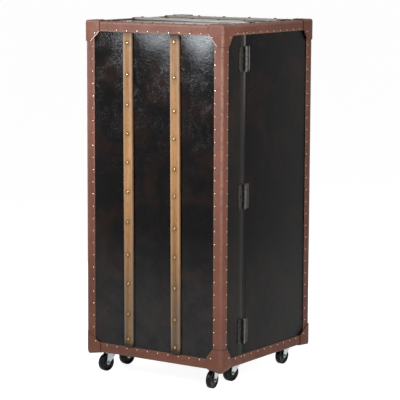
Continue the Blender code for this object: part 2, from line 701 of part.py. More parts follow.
def fork_outline():
    """Side view of a fork: distance along the trail from the swivel axis, and height above the floor."""
    foot_points = 6
    half_crown = FORK_CROWN / 2
    outline = [(-half_crown, FORK_TOP), (-half_crown, FORK_CROWN_BOTTOM)]
    for i in range(foot_points + 1):
        angle = math.pi + math.pi * i / foot_points
        along = CASTER_TRAIL + FORK_FOOT_RADIUS * math.cos(angle)
        outline.append((along, WHEEL_RADIUS + FORK_FOOT_RADIUS * math.sin(angle)))
    return outline + [(half_crown + FORK_PLATE, FORK_CROWN_BOTTOM), (half_crown, FORK_TOP)]


def wheel_profile():
    """Section of a wheel whose flat sides reach the floor: (radius, place along the axle)."""
    corner = WHEEL_RADIUS / math.cos(math.pi / WHEEL_SIDES)
    bore = (AXLE_RADIUS + WHEEL_PLAY) / math.cos(math.pi / WHEEL_SIDES)
    half_hub = WHEEL_HUB_WIDTH / 2
    half_tread = WHEEL_WIDTH / 2
    upper = [
        (bore, half_hub),
        (WHEEL_HUB_RADIUS, half_hub),
        (WHEEL_HUB_RADIUS + WHEEL_SHOULDER, half_tread),
        (corner - WHEEL_SHOULDER, half_tread),
        (corner, half_tread - WHEEL_SHOULDER),
    ]
    return upper + [(radius, -place) for radius, place in reversed(upper)]


def add_caster(name, row, side, door):
    """A swivel caster under the door or the body. Its wheel trails towards -Y of its pivot."""
    carrier = door if row == "door" else None
    axis = Vector((side * CASTER_X, CASTER_ROWS[row], 0))
    place = axis - carrier.location if carrier else axis
    swivel = add_pivot(f"{name}_swivel", place, carrier, -math.radians(CASTER_ANGLES[name]))

    # The matrix carries the outline's length along the trail (-Y) and its height to +Z
    trail_frame = Matrix(((0, 0, -1, 0), (-1, 0, 0, 0), (0, 1, 0, 0), (0, 0, 0, 1)))
    fork_name = f"{name}_caster_fork"
    block = outline_mesh(fork_name, fork_outline(), FORK_OUTSIDE, trail_frame)
    half_slot = FORK_INSIDE / 2
    reach = FORK_CROWN + CASTER_TRAIL
    slot_low = (-half_slot, -reach, -CUTTER_REACH)
    slot = box_mesh(f"{name}_fork_slot", slot_low, (half_slot, reach, FORK_CROWN_BOTTOM))
    fork = add_part(fork_name, block, ZINC, carrier=swivel, cut=[slot])
    neck_ends = ((0, 0, FORK_TOP - FORK_PLATE), (0, 0, NECK_TOP))
    pin_ends = ((0, 0, FORK_TOP), (0, 0, NECK_TOP + KINGPIN_LENGTH))
    half_axle = FORK_OUTSIDE / 2 + AXLE_OVERHANG
    hub = (0, -CASTER_TRAIL, WHEEL_RADIUS)
    axle_ends = ((-half_axle, *hub[1:]), (half_axle, *hub[1:]))
    rivets = [
        cylinder_mesh(f"{name}_neck", NECK_RADIUS, *neck_ends, CASTER_SIDES),
        cylinder_mesh(f"{name}_kingpin", KINGPIN_RADIUS, *pin_ends, CASTER_SIDES),
        cylinder_mesh(f"{name}_axle", AXLE_RADIUS, *axle_ends, CASTER_SIDES),
    ]
    for rivet in rivets:
        boolean = fork.modifiers.new(rivet.name, "BOOLEAN")
        boolean.operation = "UNION"
        boolean.solver = "EXACT"
        boolean.object = add_tool(rivet, (0, 0, 0), swivel)

    spin = add_pivot(f"{name}_wheel_axis", hub, swivel)
    facet_down = Matrix.Rotation(math.pi / WHEEL_SIDES, 4, "Z")
    along_axle = Matrix.Rotation(math.pi / 2, 4, "Y") @ facet_down
    wheel_name = f"{name}_caster_wheel"
    add_turned(wheel_name, wheel_profile(), WHEEL_SIDES, BLACK_RUBBER, (0, 0, 0), spin, along_axle)


def build_casters(door):
    for row in CASTER_ROWS:
        for side_name, side in (("left", -1), ("right", 1)):
            add_caster(f"{row}_{side_name}", row, side, door)


def build_body_shelves():
    """Shelves and the bottle rack between the sides of the body."""
    inner = INNER_X - FIT
    back = INNER_BACK - FIT
    heights = {"drawer_shelf": DRAWER_SHELF_Z, "work_shelf": WORK_SHELF_Z, "upper_shelf": UPPER_SHELF_Z}
    for name, z in heights.items():
        add_board(name, (-inner, SHELF_FRONT, z), (inner, back, z + SHELF), CABINET_WOOD)
    low = INNER_FLOOR + FIT
    high = DRAWER_SHELF_Z - FIT
    shelf_z = INNER_FLOOR + CELL_HEIGHT
    half = CELL_DIVIDER / 2
    cell = 2 * INNER_X / CELL_COLUMNS
    uprights = []
    for column in range(1, CELL_COLUMNS):
        x = -INNER_X + column * cell
        corners = ((x - half, SHELF_FRONT, low), (x + half, back, high))
        uprights.append(box_mesh(f"bottle_divider_{column}", *corners))
    shelf = box_mesh("bottle_rack", (-inner, SHELF_FRONT, shelf_z), (inner, back, shelf_z + SHELF))
    add_part("bottle_rack", shelf, CABINET_WOOD, joined=uprights)


def build_stemware_rack():
    """A board under the top with T-shaped rails, which hold glasses by their feet."""
    half_web = STEM_RAIL_WEB / 2
    half_flange = STEM_RAIL_FLANGE / 2
    side = INNER_X - FIT
    top = INNER_TOP - FIT
    board = top - STEM_BOARD
    bottom = INNER_TOP - STEM_RAIL_HEIGHT
    flange = bottom + STEM_RAIL_FLANGE_THICKNESS
    outline = [(side, top), (-side, top), (-side, board)]
    for i in range(STEM_RAIL_COUNT):
        middle = (i - (STEM_RAIL_COUNT - 1) / 2) * STEM_RAIL_PITCH
        left_half = [(-half_web, board), (-half_web, flange), (-half_flange, flange), (-half_flange, bottom)]
        outline += [(middle + x, z) for x, z in left_half]
        outline += [(middle - x, z) for x, z in reversed(left_half)]
    outline.append((side, board))
    back = INNER_BACK - FIT
    upright = Matrix.Translation((0, (SHELF_FRONT + back) / 2, 0)) @ Matrix.Rotation(math.pi / 2, 4, "X")
    mesh = outline_mesh("stemware_rack", outline, back - SHELF_FRONT, upright)
    add_part("stemware_rack", mesh, CABINET_WOOD)


def build_drawer():
    """A drawer under the work shelf, set back so that it can slide out into the closed door's hollow."""
    low = DRAWER_SHELF_Z + SHELF + FIT
    height = WORK_SHELF_Z - DRAWER_GAP - low
    half = INNER_X - DRAWER_GAP
    slide = add_pivot("drawer_slide", (0, DRAWER_FRONT, low))
    outer = box_mesh("drawer", (-half, 0, 0), (half, DRAWER_LENGTH, height))
    tray_low = (-half + DRAWER_WALL, DRAWER_WALL, DRAWER_FLOOR)
    tray_high = (half - DRAWER_WALL, DRAWER_LENGTH - DRAWER_WALL, height + CUTTER_REACH)
    add_part("drawer", outer, CABINET_WOOD, carrier=slide, cut=[box_mesh("drawer_tray", tray_low, tray_high)])
    profile = [
        (0.0, KNOB_LENGTH),
        (KNOB_CROWN, KNOB_LENGTH),
        (KNOB_RADIUS, KNOB_LENGTH - KNOB_ROUND),
        (KNOB_NECK, KNOB_NECK_LENGTH),
        (KNOB_NECK, 0.0),
        (0.0, 0.0),
    ]
    out = Matrix.Rotation(math.pi / 2, 4, "X")
    add_turned("drawer_knob", profile, KNOB_SIDES, BRASS, (0, -FIT, height / 2), slide, out)


def build_door_fittings(door):
    """Two shelves in the door, and a guard rail over each shelf and over the door's floor."""
    inner = INNER_X - FIT
    front = INNER_FRONT + FIT
    back = DOOR_EDGE - DOOR_SHELF_SETBACK
    for name, z in (("lower", DOOR_LOWER_SHELF_Z), ("upper", DOOR_UPPER_SHELF_Z)):
        add_board(f"door_{name}_shelf", (-inner, front, z), (inner, back, z + SHELF), CABINET_WOOD, door)
    floors = {
        "lower": INNER_FLOOR,
        "middle": DOOR_LOWER_SHELF_Z + SHELF,
        "upper": DOOR_UPPER_SHELF_Z + SHELF,
    }
    for name, floor in floors.items():
        rail_name = f"door_{name}_guard_rail"
        rail = cylinder_mesh(rail_name, GUARD_RADIUS, (-inner, 0, 0), (inner, 0, 0), GUARD_SIDES)
        place = Vector((0, DOOR_EDGE - GUARD_SETBACK, floor + GUARD_HEIGHT))
        add_part(rail_name, rail, BRASS, place - door.location, door)


clear_scene()
PARTS = new_collection("bar_trunk")
TOOLS = new_collection("bar_trunk_cutters")
BLACK_LEATHER = new_material("black_leather", (0.014, 0.013, 0.012), 0.38)
BROWN_LEATHER = new_material("brown_leather", (0.24, 0.10, 0.072), 0.55)
SLAT_WOOD = new_material("slat_wood", (0.47, 0.26, 0.12), 0.5)
CABINET_WOOD = new_material("cabinet_wood", (0.16, 0.065, 0.03), 0.45)
BRASS = new_material("brass", (0.62, 0.43, 0.17), 0.3, 1.0)
BLACK_METAL = new_material("black_metal", (0.03, 0.028, 0.026), 0.4, 0.6)
STEEL = new_material("steel", (0.45, 0.45, 0.46), 0.35, 1.0)
ZINC = new_material("zinc", (0.62, 0.64, 0.65), 0.3, 1.0)
BLACK_RUBBER = new_material("black_rubber", (0.012, 0.012, 0.012), 0.35)

DOOR = add_pivot("door_pivot", (HINGE_AXIS_X, SEAM_Y, 0))
build_casters(DOOR)
build_stemware_rack()
build_panels(DOOR)
build_bindings_and_caps(DOOR)
build_slats(DOOR)
build_hinges(DOOR)
build_hasp(DOOR)
build_body_shelves()
build_drawer()
build_door_fittings(DOOR)
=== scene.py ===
"""Looks of the bar trunk: leather, bindings, caps, nails, slats, hinges, hasp, casters and fittings.

Metres, +Z up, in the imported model's own frame. The door faces -Y and hangs on the right side (+X).
"""

import json
import math
from collections import namedtuple

import bmesh
import bpy
from mathutils import Matrix, Vector, noise


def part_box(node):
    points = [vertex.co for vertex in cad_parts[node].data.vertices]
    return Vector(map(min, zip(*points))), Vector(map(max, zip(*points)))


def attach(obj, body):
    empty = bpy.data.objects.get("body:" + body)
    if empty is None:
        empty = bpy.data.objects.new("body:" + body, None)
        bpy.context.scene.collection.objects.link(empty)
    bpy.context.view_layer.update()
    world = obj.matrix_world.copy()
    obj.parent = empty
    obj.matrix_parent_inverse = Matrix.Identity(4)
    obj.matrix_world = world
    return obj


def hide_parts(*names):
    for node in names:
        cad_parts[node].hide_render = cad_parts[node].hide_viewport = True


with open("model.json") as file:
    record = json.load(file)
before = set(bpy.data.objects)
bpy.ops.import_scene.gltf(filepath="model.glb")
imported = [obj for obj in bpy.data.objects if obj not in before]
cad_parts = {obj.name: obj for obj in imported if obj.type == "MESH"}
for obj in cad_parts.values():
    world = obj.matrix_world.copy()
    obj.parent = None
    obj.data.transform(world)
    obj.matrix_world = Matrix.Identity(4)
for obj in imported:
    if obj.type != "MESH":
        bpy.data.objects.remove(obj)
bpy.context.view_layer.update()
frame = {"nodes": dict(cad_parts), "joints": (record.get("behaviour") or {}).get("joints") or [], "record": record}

# Camera, fitted to the edges of the case in the photograph
CAMERA_AZIMUTH = math.radians(34.32)
CAMERA_ELEVATION = math.radians(8.10)
CAMERA_ROLL = math.radians(0.246)
CAMERA_DISTANCE = 6.324
CAMERA_SHIFT = 0.0011
CAMERA_HEIGHT = 0.5707  # of the point that it looks at
CAMERA_LENS = 169.07
CAMERA_SENSOR = 36.0
CAMERA_FAR_END = 200.0

# Boards
BOARD_ROUNDING = 0.0028
FRONT_BULGE = 0.0036
FRONT_BULGE_RUN = 0.045  # over which the leather rises from a binding
FRONT_GRID = 72, 96  # columns and rows
SEAM_HIGHLIGHT_BAND = 0.0065  # painted highlight on the body's leather edge at the seam
SEAM_HIGHLIGHT_HEIGHT = 0.38  # from the top down, where the seam's edge has that painted highlight
SEAM_PAINTED_BAND = 0.026  # width of the painted shade behind the seam, and of the painted highlight on the door's edge
LEATHER_WAVE = 0.00022
FRONT_WAVES = 9  # per metre

# Binding strips
STRIP_LIFT = 0.0025  # outer face above the board
STRIP_THICKNESS = 0.0021
STRIP_WIDTH = 0.033
STRIP_RADIUS = 0.0048
STRIP_BORDER = 0.0014  # rounding of the cut edges
STRIP_STEP = 0.0068
STRIP_WAVES = 28  # per metre
STRIP_CORNER = 0.037  # where a strip starts under a cap
INNER_FACE = 2  # number of a strip's back, beside 0 and 1 for its outer faces

# Corner caps
CAP_LIFT = 0.0033  # outer face above the strips
CAP_THICKNESS = 0.0021
CAP_RIM = 0.0007  # easing of the cut edges
CAP_RADIUS = {(-1, 1): 0.0080, (1, 1): 0.0080, (-1, -1): 0.0135, (1, -1): 0.0090}  # by signs along Y and Z
CAP_REACH = 0.055, 0.055, 0.066  # from the corner along X, Y and Z
CAP_NECKS = 0.033, 0.033, 0.033  # where the slanted edge meets the far edges
CAP_FACE_NECKS = {  # where a cap and a face of it, by its axis, are cut otherwise
    ("door_top_right_cap", 1): (0.022, 0.0, 0.028),
    ("door_top_left_cap", 1): (0.020, 0.0, 0.034),
    ("door_bottom_left_cap", 1): (0.003, 0.0, 0.033),
    ("door_bottom_right_cap", 1): (0.033, 0.0, 0.040),
    ("body_bottom_right_cap", 0): (0.0, 0.003, 0.036),
}
CAP_BORDER = 0.0019  # along the slanted edges
CAP_PALE_CORNER = -1, 1  # signs along Y and Z of the caps whose front borders are pale
CAP_SAG = {-1: 0.012, 1: 0.005}  # of the lower corners in front and at the back
CAP_SAG_WIDTH = 0.022
CAP_SAG_HEIGHT = 0.0135
CAP_SHADOW = -0.0006, 0.0018  # painted shadow on a binding beside a cap
CAP_SHADOW_END = 0.0032

# Nails of the bindings and caps
NAIL_LINE = 0.0275  # from the edge of the case
NAIL_START = 0.083
NAIL_SEAM_GAP = 0.009
NAIL_PITCH = 0.041
NAIL_RADIUS = 0.0036
NAIL_HEIGHT = 0.0021
NAIL_SINK = 0.0006
CAP_NAIL = 0.0375  # from the edges of the case
DIMPLE_DEPTH = 0.0005
DIMPLE_WIDTH = 0.0065

# Slats
SLAT_SLOPE = 0.004  # length of a sloping end
SLAT_END_HEIGHT = 0.80  # of the thickness
SLAT_EASING = 0.0010
SLAT_FOOT = 0.0020
SLAT_STEP = 0.007
SLAT_WOBBLE = 0.0003
SLAT_WAVES = 14, 40  # per metre along a slat, and from one slat to the next
SLAT_LEAN = {"front_left_slat": -0.005, "front_right_slat": -0.007}  # of the upper end
SlatLook = namedtuple("SlatLook", "radius side_stain foot_stain rubbed")  # points worn pale, counted from a foot; on the cross slats their paleness is painted sheen
UPRIGHT_LOOK = SlatLook(radius=0.0022, side_stain=0.12, foot_stain=0.5, rubbed=(3, 4, 5, 6))
CROSS_LOOK = SlatLook(radius=0.0042, side_stain=0.0, foot_stain=1.0, rubbed=(1, 2, 3, 4, 5, 6))
SLAT_NAIL_STANDING = 0.0028  # of the frame's nails above their slat
SLAT_NAIL_RADIUS = 0.0056
SLAT_NAIL_HEIGHT = 0.0030
SLAT_NAIL_PITCH = 0.098
SLAT_NAIL_END = 0.032
# painted shadow round each slat nail
SLAT_NAIL_SHADOW = 0.55
SLAT_NAIL_SHADOW_WIDTH = 0.009
SLAT_NAIL_DRIFT = {  # of the nails, from the top one on, down from even spacing
    "front_left_slat": (0.0, 0.006, 0.007, 0.004, 0.001, 0.001, 0.004, 0.015, 0.014, 0.018, 0.005),
    "front_right_slat": (-0.009, 0.007, 0.018, 0.009, 0.010, 0.001, 0.008, 0.005, 0.009, 0.015, 0.010),
}

# Hinges and hasp
HINGE_HIGHLIGHTS = {"upper": (0.9, 1.0), "middle": (0.45, 0.10), "lower": (0.8, 0.05)}  # painted highlight on the knuckles and on the rim of the leaf, strongest on the upper hinge
HINGE_KNUCKLES = 5
HINGE_SHEET = 0.002
HINGE_GAP = 0.0005
HINGE_SCREWS = (-0.36, 0.66), (-0.12, 0.40), (0.12, 0.40), (0.36, 0.66)  # shares of height and width
HASP_BARREL = 0.011  # half its height
HASP_SHEET = 0.002
BARREL_RADIUS = 0.004

# Casters
CASTERS = "door_left", "door_right", "front_left", "front_right", "rear_left", "rear_right"
WHEEL_CROWN_GAP = 0.002  # wheel to the crown of its fork
CROWN_CASE_GAP = 0.0043  # crown below the bindings
FORK_SHEET = 0.002
FORK_INSIDE = 0.011  # half the width between the legs
FORK_BEND = 0.004
FORK_FOOT = 0.007  # radius of a leg's end
FORK_CROWN = -0.018, 0.024  # back and front end along the trail

# Bar fittings
SHELVES = "drawer_shelf", "work_shelf", "upper_shelf", "bottle_rack", "drawer"
DOOR_SHELVES = "door_lower_shelf", "door_upper_shelf"
VENEER_ROUNDING = 0.0009

# Faces of the case, from the frame
FRONT_LOW, FRONT_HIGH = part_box("door_front_panel")
BACK_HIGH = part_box("body_back_panel")[1]
DOOR_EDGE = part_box("door_right_panel")[1].y
BODY_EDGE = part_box("body_right_panel")[0].y
SEAM = (DOOR_EDGE + BODY_EDGE) / 2
HALF_WIDTH = FRONT_HIGH.x + STRIP_LIFT
CASE_FRONT = FRONT_LOW.y - STRIP_LIFT
CASE_BACK = BACK_HIGH.y + STRIP_LIFT
CASE_BOTTOM = FRONT_LOW.z - STRIP_LIFT
CASE_TOP = FRONT_HIGH.z + STRIP_LIFT

SLAT_LOW, SLAT_HIGH = (corner.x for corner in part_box("front_right_slat"))
SPAN_EDGE = FRONT_HIGH.x - STRIP_WIDTH
FRONT_SPANS = (-SPAN_EDGE, -SLAT_HIGH), (-SLAT_LOW, SLAT_LOW), (SLAT_HIGH, SPAN_EDGE)

JOINT_PLACE = {joint["name"]: Vector(joint["pos_m"]) for joint in frame["joints"] if "pos_m" in joint}
HINGE_AXIS = JOINT_PLACE["door_hinge"]
HASP_AXIS = JOINT_PLACE["hasp_swing"]
NODE_BODY = {node: body for body, nodes in frame["record"]["behaviour"]["bodies"].items() for node in nodes}

AXES = (Vector((1, 0, 0)), Vector((0, 1, 0)), Vector((0, 0, 1)))
UP = AXES[2]
SMOOTH_ANGLE = math.radians(38)
TINY = 0.0001


# Shader helpers. A node or an output knows its tree as id_data


def new_material(name):
    """A material with its node tree and Principled shader."""
    material = bpy.data.materials.new(name)
    material.use_nodes = True
    tree = material.node_tree
    return material, tree, tree.nodes["Principled BSDF"]


def is_output(value):
    return isinstance(value, bpy.types.NodeSocket)


def set_inputs(node, inputs):
    """Sets a node's inputs to values, or links them to other nodes' outputs."""
    for key, value in inputs.items():
        if is_output(value):
            node.id_data.links.new(value, node.inputs[key])
        else:
            node.inputs[key].default_value = value


def add_node(tree, kind, inputs=None, **settings):
    node = tree.nodes.new(kind)
    for key, value in settings.items():
        setattr(node, key, value)
    set_inputs(node, inputs or {})
    return node


def dress(shader, color, roughness, normal, shine, metallic=0.0):
    """Gives the shader its colour, roughness, bumps, specular level and share of metal."""
    looks = {"Base Color": color, "Roughness": roughness, "Normal": normal}
    set_inputs(shader, {**looks, "Specular IOR Level": shine, "Metallic": metallic})


def object_place(tree, scale=(1.0, 1.0, 1.0)):
    place = add_node(tree, "ShaderNodeTexCoord").outputs["Object"]
    return add_node(tree, "ShaderNodeMapping", {"Vector": place, "Scale": scale}).outputs["Vector"]


def height_of(place):
    return add_node(place.id_data, "ShaderNodeSeparateXYZ", {"Vector": place}).outputs["Z"]


def noise_field(place, scale, detail, roughness=0.55, distortion=0.0):
    values = {"Vector": place, "Scale": scale, "Detail": detail}
    values |= {"Roughness": roughness, "Distortion": distortion}
    return add_node(place.id_data, "ShaderNodeTexNoise", values).outputs["Fac"]


def cell_field(place, scale, feature):
    values = {"Vector": place, "Scale": scale}
    return add_node(place.id_data, "ShaderNodeTexVoronoi", values, feature=feature).outputs["Distance"]


def calculate(operation, first, second=0.0):
    values = {0: first, 1: second}
    return add_node(first.id_data, "ShaderNodeMath", values, operation=operation).outputs["Value"]


def multiply(first, second):
    return calculate("MULTIPLY", first, second)


def remap(value, low, high, to_low=0.0, to_high=1.0):
    """Leads a value smoothly from one range to another."""
    values = {"Value": value, "From Min": low, "From Max": high, "To Min": to_low, "To Max": to_high}
    node = add_node(value.id_data, "ShaderNodeMapRange", values, interpolation_type="SMOOTHSTEP")
    return node.outputs["Result"]


def color_ramp(value, stops):
    """Colours along a value. Each stop is a place and a colour."""
    node = add_node(value.id_data, "ShaderNodeValToRGB", {"Fac": value})
    elements = node.color_ramp.elements
    while len(elements) < len(stops):
        elements.new(0.5)
    for element, (place, color) in zip(elements, stops):
        element.position = place
        element.color = (*color, 1.0)
    return node.outputs["Color"]


def mix_color(share, first, second):
    colors = [color if is_output(color) else (*color, 1.0) for color in (first, second)]
    values = {0: share, 6: colors[0], 7: colors[1]}
    return add_node(share.id_data, "ShaderNodeMix", values, data_type="RGBA").outputs[2]


def tint(share, strength, base, color):
    """Mixes a colour into a base by a share times a strength."""
    return mix_color(multiply(share, strength), base, color)


def bump(height, distance, strength, normal=None):
    values = {"Height": height, "Distance": distance, "Strength": strength}
    if normal:
        values["Normal"] = normal
    return add_node(height.id_data, "ShaderNodeBump", values).outputs["Normal"]


def mesh_value(tree, name):
    """A value that the mesh holds at its points: its layer of paleness, from use and painted highlights, or its
    layer of darkness, from tarnish, dirt and painted shade.
    """
    return add_node(tree, "ShaderNodeAttribute", attribute_name=name).outputs["Fac"]


# Materials

LEATHER_SHADES = (0.47, (0.0014, 0.0013, 0.0014)), (0.75, (0.0140, 0.0058, 0.0034))
LEATHER_SCUFF_AND_GLINT = 0.080, 0.075, 0.075
LEATHER_DUST_AND_FLOOR_REFLECTION = 0.070, 0.066, 0.063
# colours of the painted highlight and the painted shade along the seam
LEATHER_HIGHLIGHT = 0.170, 0.158, 0.142
LEATHER_SHADE = 0.0010, 0.0010, 0.0010
BROWN_SHADES = (0.30, (0.090, 0.0265, 0.0125)), (0.52, (0.134, 0.041, 0.020)), (0.75, (0.180, 0.061, 0.031))
BROWN_SPECKLE = 0.115, 0.041, 0.028
BROWN_RUBBED_AND_HIGHLIGHT = 0.440, 0.250, 0.195
BROWN_SHADE = 0.060, 0.030, 0.022
CUT_SHADES = (0.50, 0.36, 0.28), (0.62, 0.47, 0.38), (0.72, 0.58, 0.48)
SLAT_SHADES = (0.210, 0.093, 0.032), (0.330, 0.160, 0.058), (0.420, 0.222, 0.090)
CABINET_SHADES = (0.085, 0.032, 0.014), (0.165, 0.068, 0.030), (0.235, 0.108, 0.052)
LINING_SHADES = (0.115, 0.048, 0.022), (0.205, 0.092, 0.043), (0.275, 0.135, 0.068)
SLAT_GREYS = ((0.10, 0.80), (0.60, 0.0)), ((0.72, 0.0), (1.12, 0.34))  # height and share at both ends
FIGURE_STOPS = 0.32, 0.50, 0.68  # places of the three shades in a wood's figure
WOOD_STAIN = 0.050, 0.030, 0.014
UPRIGHT_STAIN_AND_SHADE = 0.018, 0.013, 0.008
CROSS_STAIN_AND_SHADE = 0.028, 0.021, 0.017
WOOD_GREY = 0.110, 0.078, 0.054
WOOD_RUBBED_AND_SHEEN = 0.46, 0.42, 0.38
TARNISH_PATCHES = 0.44, 0.72
FEW_PATCHES = 0.58, 0.90
WHEEL_SHADES = (0.30, (0.0020, 0.0020, 0.0021)), (0.75, (0.0050, 0.0050, 0.0052))
WHEEL_DUST = 0.036, 0.034, 0.032


def black_leather(name, scuffing, roughness, crackle, shine, dust_and_floor_reflection):
    """Aged black leather: pebble grain, creases, brown clouds, scuffed veins that are paler near the top as
    painted glints, and paler near the floor from dust and a painted reflection of the white floor.
    """
    material, tree, shader = new_material(name)
    place = object_place(tree)
    height = height_of(place)
    clouds = noise_field(place, 7.0, 5.0, 0.6, 0.4)
    patches = noise_field(place, 24.0, 6.0, 0.65)
    veins = noise_field(place, 58.0, 5.0, 0.62, 1.4)
    from_vein = calculate("ABSOLUTE", calculate("SUBTRACT", veins, 0.5))
    scuffs_and_glints = multiply(remap(from_vein, 0.0, 0.023, 1.0, 0.0), remap(patches, 0.42, 0.66))
    # Paler veins near the top: scuffs, and painted glints where the key light's highlight falls.
    scuffs_and_glints = multiply(scuffs_and_glints, remap(height, 0.62, 1.08, 0.12, 1.0))
    grain = cell_field(place, 430.0, "SMOOTH_F1")
    creases = cell_field(place, 95.0, "DISTANCE_TO_EDGE")
    # Paler towards the floor: dust, and a painted reflection of the white floor.
    dust = remap(height, 0.24, 0.54, dust_and_floor_reflection, 0.0)
    dust = multiply(dust, remap(patches, 0.2, 0.8, 0.3, 0.7))
    base = color_ramp(clouds, LEATHER_SHADES)
    base = tint(scuffs_and_glints, scuffing, base, LEATHER_SCUFF_AND_GLINT)
    base = mix_color(dust, base, LEATHER_DUST_AND_FLOOR_REFLECTION)
    # Painted light from the mesh values: a highlight along the seam, a slight lightening of the door's boards, and
    # painted shade behind the seam.
    base = tint(mesh_value(tree, "wear_and_highlight"), 0.8, base, LEATHER_HIGHLIGHT)
    base = mix_color(mesh_value(tree, "grime_and_shade"), base, LEATHER_SHADE)
    rough = remap(patches, 0.3, 0.7, roughness, roughness + 0.04)
    rough = calculate("ADD", rough, multiply(scuffs_and_glints, 0.10))
    normal = bump(patches, 0.0002, crackle)
    normal = bump(remap(creases, 0.0, 0.16), 0.0003, crackle, normal)
    normal = bump(scuffs_and_glints, 0.0003, crackle, normal)
    normal = bump(grain, 0.0004, roughness, normal)
    dress(shader, base, rough, normal, shine)
    return material


def brown_leather(name):
    """Matte brown leather with fine grain, paler along its edges from use and from a painted edge highlight that
    fades towards the bottom, and darker where painted shade lies beside the caps.
    """
    material, tree, shader = new_material(name)
    place = object_place(tree)
    clouds = noise_field(place, 14.0, 7.0, 0.66)
    speckle = noise_field(place, 220.0, 4.0, 0.7)
    grain = cell_field(place, 620.0, "SMOOTH_F1")
    creases = noise_field(place, 75.0, 8.0, 0.7, 0.8)
    # Paler edges: worn, and a painted highlight along the rounded edges, fading towards the bottom.
    rubbed = multiply(mesh_value(tree, "wear_and_highlight"), remap(creases, 0.34, 0.60))
    rubbed = multiply(rubbed, remap(height_of(place), 0.15, 1.0, 0.25, 1.0))
    base = color_ramp(clouds, BROWN_SHADES)
    base = mix_color(remap(speckle, 0.35, 0.72, 0.0, 0.55), base, BROWN_SPECKLE)
    base = tint(rubbed, 0.34, base, BROWN_RUBBED_AND_HIGHLIGHT)
    # Darker by the dark layer: painted shadow beside the caps, and painted shade on the strips' backs and cut
    # edges.
    base = tint(mesh_value(tree, "grime_and_shade"), 0.6, base, BROWN_SHADE)
    rough = remap(creases, 0.3, 0.7, 0.52, 0.70)
    normal = bump(creases, 0.0006, 0.35)
    normal = bump(grain, 0.0005, 0.40, normal)
    dress(shader, base, rough, normal, 0.38)
    return material


def wood(name, grain_axis, shades, roughness, shine=0.28, stain_and_shade=WOOD_STAIN, greyed=(), rubbing_and_sheen=0.2):
    """Wood with long grain, fine pores, ends darkened by stains and painted shadow, and pale edges from use and
    painted sheen.

    greyed holds the (height, share) ends of runs of grey, which make a slat greyer and darker towards the bottom
    and near the top.
    """
    material, tree, shader = new_material(name)
    across, along, fineness = 34.0, 1.5, 6
    scale = [across] * 3
    scale[grain_axis] = along
    fine_scale = [across * fineness] * 3
    fine_scale[grain_axis] = along * fineness**2
    place = object_place(tree)
    figure = noise_field(object_place(tree, scale), 1.0, 7.0, 0.6, 1.4)
    pores = noise_field(object_place(tree, fine_scale), 1.0, 3.0, 0.6)
    blotches = noise_field(place, 6.0, 3.0)
    base = color_ramp(figure, list(zip(FIGURE_STOPS, shades)))
    for (start, start_share), (end, end_share) in greyed:
        share = remap(height_of(place), start, end, start_share, end_share)
        base = tint(share, remap(figure, 0.35, 0.62, 1.15, 0.65), base, WOOD_GREY)
    pore_color = [value * 0.45 for value in shades[0]]
    base = mix_color(remap(pores, 0.50, 0.72, 0.0, 0.42), base, pore_color)
    base = mix_color(remap(blotches, 0.45, 0.75, 0.0, 0.30), base, shades[0])
    # Darker by the dark layer: staining, and painted shadow at the ends, along the feet and sides and round the
    # nails.
    base = tint(mesh_value(tree, "grime_and_shade"), 0.85, base, stain_and_shade)
    # Paler by the pale layer: worn edges, and on the cross slats a painted sheen standing in for the white
    # background's reflection at a grazing view.
    base = tint(mesh_value(tree, "wear_and_highlight"), rubbing_and_sheen, base, WOOD_RUBBED_AND_SHEEN)
    rough = remap(pores, 0.35, 0.7, roughness - 0.06, roughness + 0.10)
    normal = bump(figure, 0.0008, 0.20)
    normal = bump(pores, 0.0005, 0.30, normal)
    dress(shader, base, rough, normal, shine)
    return material


def metal(name, clean, tarnished, roughness, metallic=1.0, shine=0.5, patchiness=TARNISH_PATCHES):
    """Metal with tarnish in patches and fine scratches."""
    material, tree, shader = new_material(name)
    patches = noise_field(object_place(tree), 95.0, 5.0, 0.65)
    scratches = noise_field(object_place(tree, (900.0, 900.0, 60.0)), 1.0, 2.0)
    base = mix_color(remap(patches, *patchiness), clean, tarnished)
    # Dark layer: tarnish on the hinges, and painted shade round nail rims. Pale layer: painted glints on nail
    # crowns and painted highlights on the hinges.
    base = tint(mesh_value(tree, "grime_and_shade"), 0.85, base, tarnished)
    base = tint(mesh_value(tree, "wear_and_highlight"), 0.6, base, clean)
    rough = remap(patches, 0.3, 0.75, roughness - 0.06, roughness + 0.14)
    dress(shader, base, rough, bump(scratches, 0.0002, 0.18), shine, metallic)
    return material


def wheel_plastic(name):
    """Glossy black wheel with a worn, dusty tread."""
    material, tree, shader = new_material(name)
    dust = noise_field(object_place(tree), 120.0, 6.0, 0.7)
    share = multiply(mesh_value(tree, "wear_and_highlight"), remap(dust, 0.40, 0.70))
    base = tint(share, 0.4, color_ramp(dust, WHEEL_SHADES), WHEEL_DUST)
    rough = calculate("ADD", remap(dust, 0.3, 0.7, 0.20, 0.32), multiply(share, 0.25))
    dress(shader, base, rough, bump(dust, 0.0004, 0.15), 0.11)
    return material


